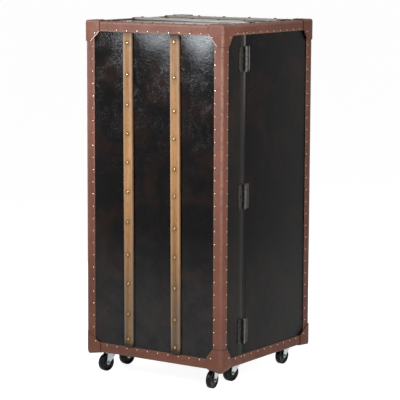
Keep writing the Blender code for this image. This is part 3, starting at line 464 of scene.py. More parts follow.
FRONT_LEATHER = black_leather(
    "front_black_leather", scuffing=0.90, roughness=0.145, crackle=0.24, shine=0.110, dust_and_floor_reflection=0.45
)
SIDE_LEATHER = black_leather(
    "side_black_leather", scuffing=0.30, roughness=0.30, crackle=0.12, shine=0.044, dust_and_floor_reflection=0.36
)
TOP_LEATHER = black_leather(
    "top_black_leather", scuffing=0.30, roughness=0.09, crackle=0.05, shine=0.70, dust_and_floor_reflection=0.45
)
BROWN_LEATHER = brown_leather("brown_binding_leather")
CUT_LEATHER = wood("cut_leather_edge", 2, CUT_SHADES, 0.6)
UPRIGHT_SLAT = wood("upright_slat_wood", 2, SLAT_SHADES, 0.46, 0.12, UPRIGHT_STAIN_AND_SHADE, SLAT_GREYS)
CROSS_SLAT = wood("cross_slat_wood", 0, SLAT_SHADES, 0.22, 0.30, CROSS_STAIN_AND_SHADE, rubbing_and_sheen=0.9)
SHELF_WOOD = wood("shelf_wood", 0, CABINET_SHADES, 0.42)
LINING_WOOD = wood("lining_wood", 2, LINING_SHADES, 0.45)
RAIL_WOOD = wood("rail_wood", 1, CABINET_SHADES, 0.42)
NAIL_BRASS = metal("nail_brass", (0.51, 0.40, 0.31), (0.045, 0.027, 0.020), 0.22, patchiness=FEW_PATCHES)
DARK_NAIL_BRASS = metal("dark_nail_brass", (0.13, 0.10, 0.07), (0.03, 0.022, 0.016), 0.40)
SLAT_NAIL_BRASS = metal(
    "slat_nail_brass", (0.42, 0.285, 0.13), (0.065, 0.036, 0.014), 0.24, patchiness=FEW_PATCHES
)
BRASS = metal("fitting_brass", (0.62, 0.43, 0.17), (0.30, 0.19, 0.07), 0.28)
HINGE_METAL = metal("hinge_black_metal", (0.25, 0.235, 0.21), (0.0060, 0.0055, 0.0050), 0.34, 0.6, 0.12)
ZINC = metal("caster_zinc", (0.54, 0.57, 0.57), (0.43, 0.46, 0.46), 0.42)
BOLT_STEEL = metal("bolt_steel", (0.20, 0.20, 0.20), (0.07, 0.07, 0.07), 0.35)
WHEEL_BLACK = wheel_plastic("wheel_black_plastic")


# Mesh helpers


def wear_and_light_layers(shape):
    """Point values that the materials read: where a surface is paler, from use and painted highlights, and where
    it is darker, from tarnish, dirt and painted shade.
    """
    layers = shape.verts.layers.float
    return tuple(layers.get(name) or layers.new(name) for name in ("wear_and_highlight", "grime_and_shade"))


def finished_mesh(name, shape, materials):
    """A mesh with materials from a bmesh, which is freed."""
    mesh = bpy.data.meshes.new(name)
    shape.to_mesh(mesh)
    shape.free()
    for material in materials:
        mesh.materials.append(material)
    return mesh


def new_object(name, data):
    made = bpy.data.objects.new(name, data)
    bpy.context.scene.collection.objects.link(made)
    return made


def new_piece(name, node, shape, materials, is_replacement=True):
    """Makes a piece from a bmesh, in place in the row frame, that rides on a node's body."""
    bmesh.ops.recalc_face_normals(shape, faces=shape.faces)
    mesh = finished_mesh(name, shape, materials)
    mesh.shade_smooth()
    mesh.set_sharp_from_angle(angle=SMOOTH_ANGLE)
    piece = new_object(name, mesh)
    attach(piece, NODE_BODY[node])
    if is_replacement:
        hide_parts(node)
    return piece


def clamp(value):
    return min(1.0, max(0.0, value))


def main_axis(direction):
    """Number of the axis that a direction runs along."""
    return max(range(3), key=lambda axis: abs(direction[axis]))


def split(start, end, count):
    """Places from start to end in even steps."""
    return [start + (end - start) * i / count for i in range(count + 1)]


def spaced(start, end, pitch):
    """Places from start to end at about the pitch, with one at each end."""
    return split(start, end, max(1, round((end - start) / pitch)))


def circle(sides):
    """Angles of the points round a circle."""
    return split(0.0, 2 * math.pi, sides)[:-1]


def arc(center, radius, start, end, steps):
    """Points on an arc in a plane, angles in degrees."""
    angles = [math.radians(angle) for angle in split(start, end, steps)]
    return [(center[0] + radius * math.cos(a), center[1] + radius * math.sin(a)) for a in angles]


def grid(shape, rows):
    """Quads between rows of points."""
    made = [[shape.verts.new(point) for point in row] for row in rows]
    for first, second in zip(made, made[1:]):
        for i in range(len(first) - 1):
            shape.faces.new((first[i], first[i + 1], second[i + 1], second[i]))


def skin(shape, rings, is_loop=False):
    """Quads between rings of points. The end rings are filled, or the last one joins the first."""
    made = [[shape.verts.new(point) for point in ring] for ring in rings]
    pairs = list(zip(made, made[1:]))
    if is_loop:
        pairs.append((made[-1], made[0]))
    for first, second in pairs:
        for i in range(len(first)):
            j = (i + 1) % len(first)
            shape.faces.new((first[i], first[j], second[j], second[i]))
    if not is_loop:
        shape.faces.new(list(reversed(made[0])))
        shape.faces.new(made[-1])
    return made


def on_face(point, direction):
    """Placement of a form whose +Z looks out of a face."""
    return Matrix.Translation(point) @ UP.rotation_difference(Vector(direction)).to_matrix().to_4x4()


def turned(shape, profile, sides, place, is_loop=False):
    """A turned form about the placement's Z. The profile holds (radius, height) points."""
    rings = []
    for radius, height in profile:
        points = [(radius * math.cos(a), radius * math.sin(a), height) for a in circle(sides)]
        rings.append([place @ Vector(point) for point in points])
    return skin(shape, rings, is_loop)


def rounded_bar(shape, radius, start, end, sides=20, rounding=0.0005):
    """A round bar between two points with eased ends."""
    start, end = Vector(start), Vector(end)
    length = (end - start).length
    neck = radius - rounding
    profile = [(neck, 0), (radius, rounding), (radius, length - rounding), (neck, length)]
    turned(shape, profile, sides, on_face(start, end - start))


def upright_bar(shape, radius, axis, low, high, sides=24, rounding=0.0006):
    rounded_bar(shape, radius, (axis.x, axis.y, low), (axis.x, axis.y, high), sides, rounding)


def rounded_rectangle(width, height, radius, steps):
    """Outline round the origin, counter-clockwise."""
    x, y = width / 2 - radius, height / 2 - radius
    corners = (((x, y), 0), ((-x, y), 90), ((-x, -y), 180), ((x, -y), 270))
    return [point for center, angle in corners for point in arc(center, radius, angle, angle + 90, steps)]


def inset_outline(points, distance):
    """A convex counter-clockwise outline, drawn in by a distance."""
    inset = []
    for i, point in enumerate(points):
        before, after = Vector(points[i - 1]), Vector(points[(i + 1) % len(points)])
        tangent = (after - before).normalized()
        inset.append((point[0] - tangent.y * distance, point[1] + tangent.x * distance))
    return inset


def plate(shape, outline, thickness, place, easing=0.0004, border=()):
    """A flat plate from z 0 to its thickness, with eased edges. border holds insets of rings on its face."""
    levels = [(easing, 0.0), (0.0, easing), (0.0, thickness - easing), (easing, thickness)]
    levels += [(inset, thickness) for inset in border]
    rings = []
    for inset, height in levels:
        points = inset_outline(outline, inset) if inset else outline
        rings.append([place @ Vector((x, y, height)) for x, y in points])
    return skin(shape, rings)


def round_edges(shape, edges, radius, segments):
    bmesh.ops.bevel(shape, geom=edges, offset=radius, segments=segments, profile=0.5, affect="EDGES")


def box(shape, low, high, rounding=0.0, segments=2):
    """A box between two corners with rounded edges."""
    low, high = Vector(low), Vector(high)
    size = Matrix.Diagonal((*(high - low), 1.0))
    place = Matrix.Translation((low + high) / 2) @ size
    made = bmesh.ops.create_cube(shape, size=1.0, matrix=place)
    if rounding:
        edges = list({edge for vert in made["verts"] for edge in vert.link_edges})
        round_edges(shape, edges, rounding, segments)


def bisect(shape, point, normal, is_cut=False):
    """Cuts a shape's faces along a plane, and clears what is beyond it where is_cut says so."""
    everything = [*shape.verts, *shape.edges, *shape.faces]
    bmesh.ops.bisect_plane(shape, geom=everything, plane_co=point, plane_no=normal, clear_outer=is_cut)


def dome(shape, place, radius, height, sides=12, rings=3):
    """A nail head, a little sunk, with a rim painted dark for its shade and a crown painted bright for its glint.
    """
    wear_and_highlight, grime_and_shade = wear_and_light_layers(shape)
    crown, fade, flat_top = 0.34, 0.40, 0.6  # the last in steps between rings
    profile = [(radius, -NAIL_SINK)]
    for i in range(rings + 1):
        angle = math.pi / 2 * i / (rings + flat_top)
        profile.append((radius * math.cos(angle), height * math.sin(angle)))
    for ring, (reach, _) in zip(turned(shape, profile, sides, place), profile):
        # Painted light: the rim darkened as shade round the head, the crown brightened as its glint.
        rim = clamp((reach / radius - crown) / fade)
        for vert in ring:
            vert[wear_and_highlight] = 1.0 - rim
            vert[grime_and_shade] = rim


def screw_head(shape, place, radius):
    """A flat screw head: a disc, and on it two halves with the slot between them."""
    sunk, slot_floor, height, easing = 0.0004, 0.0002, 0.0007, 0.0001
    slot, reach = 0.12, 0.97  # half the slot and the reach of the halves, in shares of the radius
    slot_side = math.degrees(math.asin(slot))
    turned(shape, [(radius, -sunk), (radius, slot_floor)], 16, place)
    halves = place @ Matrix.Translation((0, 0, slot_floor - easing))
    for start in (slot_side, 180 + slot_side):
        outline = arc((0, 0), radius * reach, start, start + 180 - 2 * slot_side, 9)
        plate(shape, outline, height - slot_floor + easing, halves, easing)


# Boards


def line_inside(shape, inward):
    """Gives the faces that look into the trunk the second material."""
    facing = 0.9
    bmesh.ops.recalc_face_normals(shape, faces=shape.faces)
    for face in shape.faces:
        face.normal_update()
        face.material_index = 1 if face.normal.dot(inward) > facing else 0


def seam_painted_light(point):
    """Painted highlight and painted shade of a board's leather, by its place beside the seam."""
    # Painted light: the door's boards a little lighter, most at their edge by the seam; the body's edge by the
    # seam lighter near the top; painted shade just behind that edge.
    door_lightening, door_edge_highlight, least_highlight, seam_shade = 0.06, 0.12, 0.10, 0.9
    behind = point.y - BODY_EDGE
    if point.y < SEAM:
        return door_lightening + door_edge_highlight * max(0.0, 1.0 - (DOOR_EDGE - point.y) / SEAM_PAINTED_BAND), 0.0
    if behind < SEAM_HIGHLIGHT_BAND + TINY:
        return max(least_highlight, 1.0 - (CASE_TOP - point.z) / SEAM_HIGHLIGHT_HEIGHT), 0.0
    return 0.0, seam_shade * max(0.0, 1.0 - (behind - SEAM_HIGHLIGHT_BAND) / (SEAM_PAINTED_BAND - SEAM_HIGHLIGHT_BAND))


def add_seam_loops(shape):
    """Edge loops beside the seam and down from the top, where the painted highlight and shade of the leather
    change.
    """
    fade = 0.0015
    bands = [(1, BODY_EDGE + y) for y in (SEAM_HIGHLIGHT_BAND, SEAM_HIGHLIGHT_BAND + fade, SEAM_PAINTED_BAND)]
    bands += [(1, DOOR_EDGE - SEAM_PAINTED_BAND)]
    bands += [(2, CASE_TOP - SEAM_HIGHLIGHT_HEIGHT * share) for share in (0.25, 0.5, 0.75, 1.0)]
    for axis, place in bands:
        bisect(shape, AXES[axis] * place, AXES[axis])


def add_board(node, inward, leather):
    """A leather-covered board with soft edges, veneered on its inner side."""
    shape = bmesh.new()
    box(shape, *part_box(node), BOARD_ROUNDING, 4)
    add_seam_loops(shape)
    wear_and_highlight, grime_and_shade = wear_and_light_layers(shape)
    for vert in shape.verts:
        vert[wear_and_highlight], vert[grime_and_shade] = seam_painted_light(vert.co)
    line_inside(shape, inward)
    new_piece(f"{node}_board", node, shape, (leather, LINING_WOOD))


def front_point(x, z):
    """A point of the door's leather, which swells between the slats and bindings and is slightly wavy."""
    swell, fullness, noise_plane = 0.0, 0.7, 3.1
    for start, end in FRONT_SPANS:
        if start < x < end:
            swell = math.sin(math.pi * (x - start) / (end - start)) ** fullness
    from_binding = max(0.0, min(z - CASE_BOTTOM, CASE_TOP - z) - STRIP_WIDTH)
    swell *= 1.0 - math.exp(-from_binding / FRONT_BULGE_RUN)
    wave = noise.noise(Vector((x * FRONT_WAVES, noise_plane, z * FRONT_WAVES))) * LEATHER_WAVE
    return x, FRONT_LOW.y - FRONT_BULGE * swell - wave * min(1.0, swell * 2), z


def add_front_board():
    """The door's front board."""
    node = "door_front_panel"
    shape = bmesh.new()
    columns = split(FRONT_LOW.x, FRONT_HIGH.x, FRONT_GRID[0])
    rows = split(FRONT_LOW.z, FRONT_HIGH.z, FRONT_GRID[1])
    grid(shape, [[front_point(x, z) for x in columns] for z in rows])
    border = [edge for edge in shape.edges if edge.is_boundary]
    made = bmesh.ops.extrude_edge_only(shape, edges=border)["geom"]
    for vert in (item for item in made if isinstance(item, bmesh.types.BMVert)):
        vert.co.y = FRONT_HIGH.y
    bmesh.ops.holes_fill(shape, edges=[edge for edge in shape.edges if edge.is_boundary])
    line_inside(shape, AXES[1])
    new_piece(f"{node}_board", node, shape, (FRONT_LEATHER, LINING_WOOD))


def add_boards():
    add_front_board()
    inwards = {"left": AXES[0], "right": -AXES[0], "top": -AXES[2], "bottom": AXES[2], "back": -AXES[1]}
    for section in ("door", "body"):
        for side, inward in inwards.items():
            node = f"{section}_{side}_panel"
            if node in frame["nodes"]:
                add_board(node, inward, TOP_LEATHER if side == "top" else SIDE_LEATHER)


# Bindings, caps and nails


def strip_section():
    """Section of a binding: (depth under its first face, depth under its second face, face, paleness). Its rounded
    edges are pale from use and from a painted highlight.
    """
    across, half_corner = 6, 3
    edge = STRIP_BORDER - STRIP_WIDTH
    flat = split(edge, -STRIP_RADIUS, across)[1:-1]
    corner = arc((-STRIP_RADIUS, -STRIP_RADIUS), STRIP_RADIUS, 0, 90, 2 * half_corner)
    points = [(x, y, 0, 1.0) for x, y in arc((-STRIP_BORDER, edge), STRIP_BORDER, -90, 0, 3)]
    points += [(0.0, y, 0, 0.0) for y in flat]
    points += [(x, y, 0 if i <= half_corner else 1, 1.0) for i, (x, y) in enumerate(corner)]
    points += [(x, 0.0, 1, 0.0) for x in reversed(flat)]
    points += [(x, y, 1, 1.0) for x, y in arc((edge, -STRIP_BORDER), STRIP_BORDER, 90, 180, 3)]
    deep = -STRIP_THICKNESS
    inner = (-STRIP_WIDTH, deep), (deep, deep), (deep, -STRIP_WIDTH)
    return points + [(x, y, INNER_FACE, 0.0) for x, y in inner]


def strip_ring(section, center, faces, distance, nails):
    """Points of a strip's section at a distance along it, wavy and pressed in round the nails."""
    ring = []
    for x, y, face, _ in section:
        point = center + faces[0] * x + faces[1] * y
        if face != INNER_FACE:
            depth = y if face == 0 else x
            wave = noise.noise(point * STRIP_WAVES) * LEATHER_WAVE
            near = min((abs(nail - distance) for nail in nails[face]), default=1.0)
            spread = (near**2 + (depth + NAIL_LINE) ** 2) / DIMPLE_WIDTH**2
            point += faces[face] * (wave - DIMPLE_DEPTH * math.exp(-spread))
        ring.append(point)
    return ring


def add_strip(shape, start, end, faces, nails, is_capped):
    """An L-shaped leather strip along an edge. nails are distances along it on its first and second face.

    It carries painted shadow beside the cap at its start, and at its end where is_capped says so.
    """
    wear_and_highlight, grime_and_shade = wear_and_light_layers(shape)
    length = (end - start).length
    along = (end - start) / length
    cap_edge = CAP_REACH[main_axis(along)] - STRIP_CORNER
    cap_shadowed = [cap_edge + step for step in CAP_SHADOW]
    clean = [cap_edge + CAP_SHADOW_END]
    if is_capped:
        cap_shadowed += [length - place for place in cap_shadowed]
        clean += [length - place for place in clean]
    stations = sorted([*spaced(0.0, length, STRIP_STEP), *cap_shadowed, *clean])
    section = strip_section()
    rings = [strip_ring(section, start + along * place, faces, place, nails) for place in stations]
    for ring, place in zip(skin(shape, rings), stations):
        for vert, (_, _, face, rubbed) in zip(ring, section):
            # Rounded edges pale: worn, with a painted highlight.
            vert[wear_and_highlight] = rubbed
            # Painted shade on the back face, and painted shadow beside the caps.
            vert[grime_and_shade] = 1.0 if face == INNER_FACE or place in cap_shadowed else 0.0


def section_strips(outer_y, seam_y):
    """The binding strips of the door or of the body.

    Each has its start, end and faces, whether its second face is nailed, and whether it ends at the seam.
    """
    out = 1 if outer_y > seam_y else -1
    outwards = AXES[1] * out
    near = outer_y - out * STRIP_CORNER
    across = HALF_WIDTH - STRIP_CORNER
    low, high = CASE_BOTTOM + STRIP_CORNER, CASE_TOP - STRIP_CORNER
    ends = (CASE_BOTTOM, -UP, False), (CASE_TOP, UP, True)
    strips = []
    for x, sideways in ((-HALF_WIDTH, -AXES[0]), (HALF_WIDTH, AXES[0])):
        strips.append(((x, outer_y, low), (x, outer_y, high), (sideways, outwards), True, False))
        for z, updown, is_top in ends:
            strips.append(((x, near, z), (x, seam_y, z), (sideways, updown), is_top, True))
    for z, updown, is_top in ends:
        strips.append(((-across, outer_y, z), (across, outer_y, z), (outwards, updown), is_top, False))
    return [(Vector(start), Vector(end), *rest) for start, end, *rest in strips]


def add_nail(shape, point, direction):
    dome(shape, on_face(point, direction), NAIL_RADIUS, NAIL_HEIGHT)


def add_cap_nails(shape, section):
    """A nail on each face of the caps, apart from those that look down."""
    for _, corner, signs in caps_of(section):
        for axis in range(3):
            if axis < 2 or signs[axis] > 0:
                inwards = Vector([0 if i == axis else -signs[i] * CAP_NAIL for i in range(3)])
                direction = AXES[axis] * signs[axis]
                add_nail(shape, corner + inwards + direction * CAP_LIFT, direction)


def add_bindings():
    """Leather strips round the edges of the door and of the body, with all nails of strips and caps."""
    first_nail = NAIL_START - STRIP_CORNER
    for section, outer_y, seam_y in (("door", CASE_FRONT, DOOR_EDGE), ("body", CASE_BACK, BODY_EDGE)):
        leather, nails = bmesh.new(), bmesh.new()
        for start, end, faces, is_second_nailed, is_at_seam in section_strips(outer_y, seam_y):
            length = (end - start).length
            along = (end - start) / length
            row = spaced(first_nail, length - (NAIL_SEAM_GAP if is_at_seam else first_nail), NAIL_PITCH)
            rows = row, row if is_second_nailed else []
            add_strip(leather, start, end, faces, rows, not is_at_seam)
            for face in (0, 1):
                for place in rows[face]:
                    add_nail(nails, start + along * place - faces[1 - face] * NAIL_LINE, faces[face])
        add_cap_nails(nails, section)
        node = f"{section}_edge_binding"
        new_piece(f"{section}_binding_strips", node, leather, (BROWN_LEATHER,))
        new_piece(f"{section}_binding_nails", node, nails, (NAIL_BRASS,), False)


def caps_of(section):
    """Node, corner of the case and its signs along X, Y and Z, for each cap of the door or of the body."""
    y_sign, outer_y = (-1, CASE_FRONT) if section == "door" else (1, CASE_BACK)
    caps = []
    for side, x_sign in (("left", -1), ("right", 1)):
        for end, z_sign, z in (("top", 1, CASE_TOP), ("bottom", -1, CASE_BOTTOM)):
            corner = Vector((x_sign * HALF_WIDTH, outer_y, z))
            caps.append((f"{section}_{end}_{side}_cap", corner, (x_sign, y_sign, z_sign)))
    return caps


def cut_cap(shape, axis, necks):
    """Cuts the slanted edge of one face of a cap, and returns the faces of its border."""
    first, second = (other for other in range(3) if other != axis)
    slant, edge = Vector((0, 0, 0)), Vector((0, 0, 0))
    slant[first] = necks[second] - CAP_REACH[second]
    slant[second] = necks[first] - CAP_REACH[first]
    slant.normalize()
    edge[first], edge[second] = -CAP_REACH[first], -necks[second]
    bisect(shape, edge - slant * CAP_BORDER, slant)
    bisect(shape, edge, slant, True)
    return [face for face in shape.faces if (face.calc_center_median() - edge).dot(slant) > -CAP_BORDER]


def sag_cap(shape, sag):
    """Lets the lower corner of a cap hang down, in the cap's own mirrored frame."""
    for axis in AXES[:2]:
        bisect(shape, -axis * CAP_SAG_WIDTH, axis)
    for vert in shape.verts:
        x, y, z = vert.co
        near_edge = clamp(1.0 + max(x, y) / CAP_SAG_WIDTH)
        near_corner = clamp(1.0 + min(x, y) / CAP_REACH[0])
        vert.co.z += sag * near_edge * near_corner * clamp(1.0 + z / CAP_SAG_HEIGHT)


def cap_shape(node, corner, signs):
    """Outer skin of a corner cap: three faces that meet in a round corner, with slanted inner edges."""
    shape = bmesh.new()
    box(shape, [-reach for reach in CAP_REACH], (CAP_LIFT,) * 3)
    inner = []
    for face in shape.faces:
        middle = face.calc_center_median()
        if any(middle[axis] < TINY - CAP_REACH[axis] for axis in range(3)):
            inner.append(face)
    bmesh.ops.delete(shape, geom=inner, context="FACES")
    radius = CAP_RADIUS[signs[1:]]
    round_edges(shape, [edge for edge in shape.edges if not edge.is_boundary], radius, 7)
    for axis in range(3):
        is_pale = axis == 1 and signs[1:] == CAP_PALE_CORNER
        for face in cut_cap(shape, axis, CAP_FACE_NECKS.get((node, axis), CAP_NECKS)):
            face.material_index = 1 if is_pale else 0
    wear_and_highlight, _ = wear_and_light_layers(shape)
    # A cap's rounded corner is pale: worn, with a painted highlight along it.
    for vert in shape.verts:
        rounded = sum(1 for value in vert.co if value > CAP_LIFT - radius)
        vert[wear_and_highlight] = 1.0 if rounded > 1 else 0.0
    if signs[2] < 0:
        sag_cap(shape, CAP_SAG[signs[1]])
    place = Matrix.Translation(corner) @ Matrix.Diagonal((*signs, 1))
    bmesh.ops.transform(shape, matrix=place, verts=shape.verts)
    return shape


def add_caps():
    for section in ("door", "body"):
        for node, corner, signs in caps_of(section):
            shape = cap_shape(node, corner, signs)
            cap = new_piece(f"{node}_leather", node, shape, (BROWN_LEATHER, CUT_LEATHER))
            if cap.data.polygons[0].normal.dot(Vector(signs)) < 0:
                cap.data.flip_normals()
            solid = cap.modifiers.new("thickness", "SOLIDIFY")
            solid.thickness = CAP_THICKNESS
            solid.offset = -1.0
            eased = cap.modifiers.new("eased_rim", "BEVEL")
            eased.width = CAP_RIM
            eased.segments = 2
            eased.limit_method = "ANGLE"
            eased.angle_limit = math.radians(60)


# Slats


def slat_stations(start, end):
    """Where a slat's section is drawn along it: closer together at its ends."""
    steps = 0.0, SLAT_EASING, SLAT_SLOPE * 0.5, SLAT_SLOPE
    stations = [start + step for step in steps]
    stations += spaced(start + 2 * SLAT_SLOPE, end - 2 * SLAT_SLOPE, SLAT_STEP)
    return stations + [end - step for step in reversed(steps)]


def slat_nails(node, start, end):
    """Where a slat's nails are along it."""
    places = spaced(start + SLAT_NAIL_END, end - SLAT_NAIL_END, SLAT_NAIL_PITCH)
    drifts = SLAT_NAIL_DRIFT.get(node, (0.0,) * len(places))
    return [place - drift for place, drift in zip(places, reversed(drifts))]


def slat_section(half, height, radius):
    """Section of a slat, from one foot over its rounded edges to the other: (across, height) points."""
    most_of_height, inner_share = 0.6, 0.33
    radius = min(radius, height * most_of_height)
    inner = half * inner_share
    left = arc((radius - half, height - radius), radius, 180, 90, 4)
    right = arc((half - radius, height - radius), radius, 90, 0, 4)
    feet = (-half, 0.0), (-half, SLAT_FOOT), (half, SLAT_FOOT), (half, 0.0)
    return [*feet[:2], *left, (-inner, height), (inner, height), *right, *feet[2:]]


def slat_frame(node, length_axis, out):
    """A slat's start, end, half width, thickness and middle, and a function that places its points."""
    low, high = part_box(node)
    out_axis = main_axis(out)
    side_axis = 3 - length_axis - out_axis
    start, end = low[length_axis], high[length_axis]
    base = low[out_axis] if out[out_axis] > 0 else high[out_axis]
    half_width = (high[side_axis] - low[side_axis]) / 2
    thickness = high[out_axis] - low[out_axis] - SLAT_NAIL_STANDING
    middle = (low[side_axis] + high[side_axis]) / 2
    lean = SLAT_LEAN.get(node, 0.0)

    def point(along, across, height):
        place = Vector((0.0, 0.0, 0.0))
        place[length_axis] = along
        place[side_axis] = middle + across + lean * (along - start) / (end - start)
        place[out_axis] = base + out[out_axis] * height
        return place

    return start, end, half_width, thickness, middle, point


def slat_stains_and_shadows(along, start, end, end_stains_and_shadows, nail_places):
    """How dark a slat is at a place along it: painted shadow under a binding near its ends, fainter staining
    further in, and painted shadow round its nails.
    """
    tip, fade, faint, faint_run = 0.018, 0.008, 0.3, 0.045
    to_end = min(along - start, end - along)
    stain_and_shade = clamp((tip - to_end) / fade) + faint * max(0.0, 1.0 - to_end / faint_run)
    stain_and_shade *= end_stains_and_shadows[0] if along - start < end - along else end_stains_and_shadows[1]
    to_nail = min(abs(along - place) for place in nail_places)
    return min(1.0, stain_and_shade), SLAT_NAIL_SHADOW * math.exp(-((to_nail / SLAT_NAIL_SHADOW_WIDTH) ** 2))


def stain_ring(ring, layers, look, end_stain_and_shadow, nail_shadow):
    """Sets how pale and how dark one section of a slat is: the given darkening of its ends and round its nails,
    painted shade at its feet and sides, and pale edges from use and, on the cross slats, painted sheen. Its points
    count from its feet up.
    """
    wear_and_highlight, grime_and_shade = layers
    side_points = 3
    for i, vert in enumerate(ring):
        from_foot = min(i, len(ring) - 1 - i)
        is_middle = i in (len(ring) // 2 - 1, len(ring) // 2)
        stain_and_shade = look.side_stain if from_foot < side_points else 0.0
        if from_foot == 0:
            stain_and_shade = look.foot_stain
        vert[grime_and_shade] = min(1.0, end_stain_and_shadow + stain_and_shade + nail_shadow * is_middle)
        vert[wear_and_highlight] = (1.0 - end_stain_and_shadow) * (from_foot in look.rubbed)


def add_slat(node, length_axis, out, materials, end_stains_and_shadows, look):
    """A wooden slat with rounded edges and sloping ends, and its brass nails."""
    start, end, half_width, thickness, middle, point = slat_frame(node, length_axis, out)
    nail_places = slat_nails(node, start, end)
    stations = slat_stations(start, end)
    rings, noise_plane = [], 1.7
    for along in stations:
        to_end = min(along - start, end - along)
        slope = math.sin(math.pi / 2 * min(1.0, to_end / SLAT_SLOPE))
        height = thickness * (SLAT_END_HEIGHT + (1.0 - SLAT_END_HEIGHT) * slope)
        section = slat_section(half_width - max(0.0, SLAT_EASING - to_end), height, look.radius)
        spot = Vector((along * SLAT_WAVES[0], middle * SLAT_WAVES[1], noise_plane))
        wobble = noise.noise(spot) * SLAT_WOBBLE
        rings.append([point(along, across + wobble, level) for across, level in section])
    shape, nails = bmesh.new(), bmesh.new()
    layers = wear_and_light_layers(shape)
    for ring, along in zip(skin(shape, rings), stations):
        stain_ring(ring, layers, look, *slat_stains_and_shadows(along, start, end, end_stains_and_shadows, nail_places))
    for along in nail_places:
        place = on_face(point(along, 0.0, thickness), out)
        dome(nails, place, SLAT_NAIL_RADIUS, SLAT_NAIL_HEIGHT, 16, 4)
    new_piece(f"{node}_timber", node, shape, materials[:1])
    new_piece(f"{node}_nails", node, nails, materials[1:], False)


def add_slats():
    # Each slat's ends are darkened by painted shadow under the bindings and by staining, most at the right slat's
    # top.
    for side, top_stain_and_shadow in (("left", 0.4), ("right", 1.0)):
        materials = UPRIGHT_SLAT, SLAT_NAIL_BRASS
        add_slat(f"front_{side}_slat", 2, -AXES[1], materials, (0.9, top_stain_and_shadow), UPRIGHT_LOOK)
    for end in ("front", "rear"):
        add_slat(f"top_{end}_slat", 0, UP, (CROSS_SLAT, DARK_NAIL_BRASS), (1.0, 1.0), CROSS_LOOK)


# Hinges


def add_hinges():
    """Butt hinges with wrapped knuckles, slotted screws and ball-tipped pins."""
    for name, rubbed in HINGE_HIGHLIGHTS.items():
        for section, side in (("body", 1), ("door", -1)):
            add_hinge_leaf(f"{name}_hinge_{section}", *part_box(f"{name}_hinge_body_leaf"), side, rubbed)
        add_hinge_pin(f"{name}_hinge")


def add_hinge_pin(name):
    node = f"{name}_pin"
    low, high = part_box(node)
    radius, length = (high.x - low.x) / 2, high.z - low.z
    tip = radius * 1.35
    profile = [(0.0004, 0.0), (tip * 0.75, 0.0006), (tip, 0.0018), (radius, 0.0028)]
    profile += [(reach, length - height) for reach, height in reversed(profile)]
    shape = bmesh.new()
    turned(shape, profile, 20, Matrix.Translation((HINGE_AXIS.x, HINGE_AXIS.y, low.z)))
    new_piece(f"{name}_rod", node, shape, (HINGE_METAL,))


def add_knuckles(shape, low, high, side):
    """Every second knuckle of a hinge, with the sheet that joins it to its leaf."""
    wrap, overlap, sunk = 0.001, 0.004, 0.00005
    radius = HINGE_AXIS.x - low.x
    pitch = (high.z - low.z) / HINGE_KNUCKLES
    ends = sorted(HINGE_AXIS.y + side * reach for reach in (wrap, radius + HINGE_GAP + overlap))
    for number in range(0 if side > 0 else 1, HINGE_KNUCKLES, 2):
        bottom = low.z + number * pitch + HINGE_GAP / 2
        top = bottom + pitch - HINGE_GAP
        upright_bar(shape, radius, HINGE_AXIS, bottom, top)
        sheet = low.x + sunk, low.x + HINGE_SHEET - sunk
        box(shape, (sheet[0], ends[0], bottom), (sheet[1], ends[1], top), 0.0004, 1)


def paint_leaf_highlights(shape, rim, radius, reach, rubbed):
    """Paints a highlight as bare metal on the outer side of a leaf's knuckles and along the rim of its plate."""
    wear_and_highlight, grime_and_shade = wear_and_light_layers(shape)
    highlight_from, highlight_width, cleaned = 0.75, 0.0032, 0.6
    for vert in shape.verts:
        from_axis = abs(vert.co.y - HINGE_AXIS.y)
        if from_axis < radius + TINY:
            outwards = (vert.co.x - HINGE_AXIS.x) / radius
            vert[wear_and_highlight] = rubbed[0] * max(0.0, outwards - highlight_from) / (1.0 - highlight_from)
        else:
            vert[wear_and_highlight] = rubbed[1] if vert in rim and from_axis > reach - highlight_width else 0.0
        vert[grime_and_shade] = 1.0 - cleaned * vert[wear_and_highlight]


def add_hinge_leaf(name, low, high, side, rubbed):
    """A leaf of a hinge: the body's, between two corners, or with side -1 the door's, which mirrors it."""
    rounding, easing, border, screw, screw_dirt = 0.004, 0.0005, (0.0028, 0.0034), 0.0033, 0.85
    height, z = high.z - low.z, (low.z + high.z) / 2
    radius, reach = HINGE_AXIS.x - low.x, high.y - HINGE_AXIS.y
    start = radius + HINGE_GAP
    place = Matrix.Translation((low.x, HINGE_AXIS.y + side * (start + reach) / 2, z))
    place = place @ Matrix.Rotation(math.pi / 2, 4, "Y") @ Matrix.Rotation(math.pi / 2, 4, "Z")
    shape = bmesh.new()
    _, grime_and_shade = wear_and_light_layers(shape)
    outline = rounded_rectangle(reach - start, height, rounding, 5)
    rings = plate(shape, outline, HINGE_SHEET, place, easing, border)
    rim = {vert for ring in rings[:-1] for vert in ring} if side > 0 else set()
    add_knuckles(shape, low, high, side)
    paint_leaf_highlights(shape, rim, radius, reach, rubbed)
    leaf = set(shape.verts)
    for up, across in HINGE_SCREWS:
        y = HINGE_AXIS.y + side * (start + (reach - start) * across)
        screw_head(shape, on_face((low.x + HINGE_SHEET, y, z + up * height), AXES[0]), screw)
    for vert in set(shape.verts) - leaf:
        vert[grime_and_shade] = screw_dirt
    new_piece(f"{name}_plate", f"{name}_leaf", shape, (HINGE_METAL,))


# Hasp


def add_hasp():
    """Brass hasp on the left side: a plate with ears, a slotted strap, and a plate with a wire staple."""
    add_hasp_plate()
    add_strap()
    add_keeper()


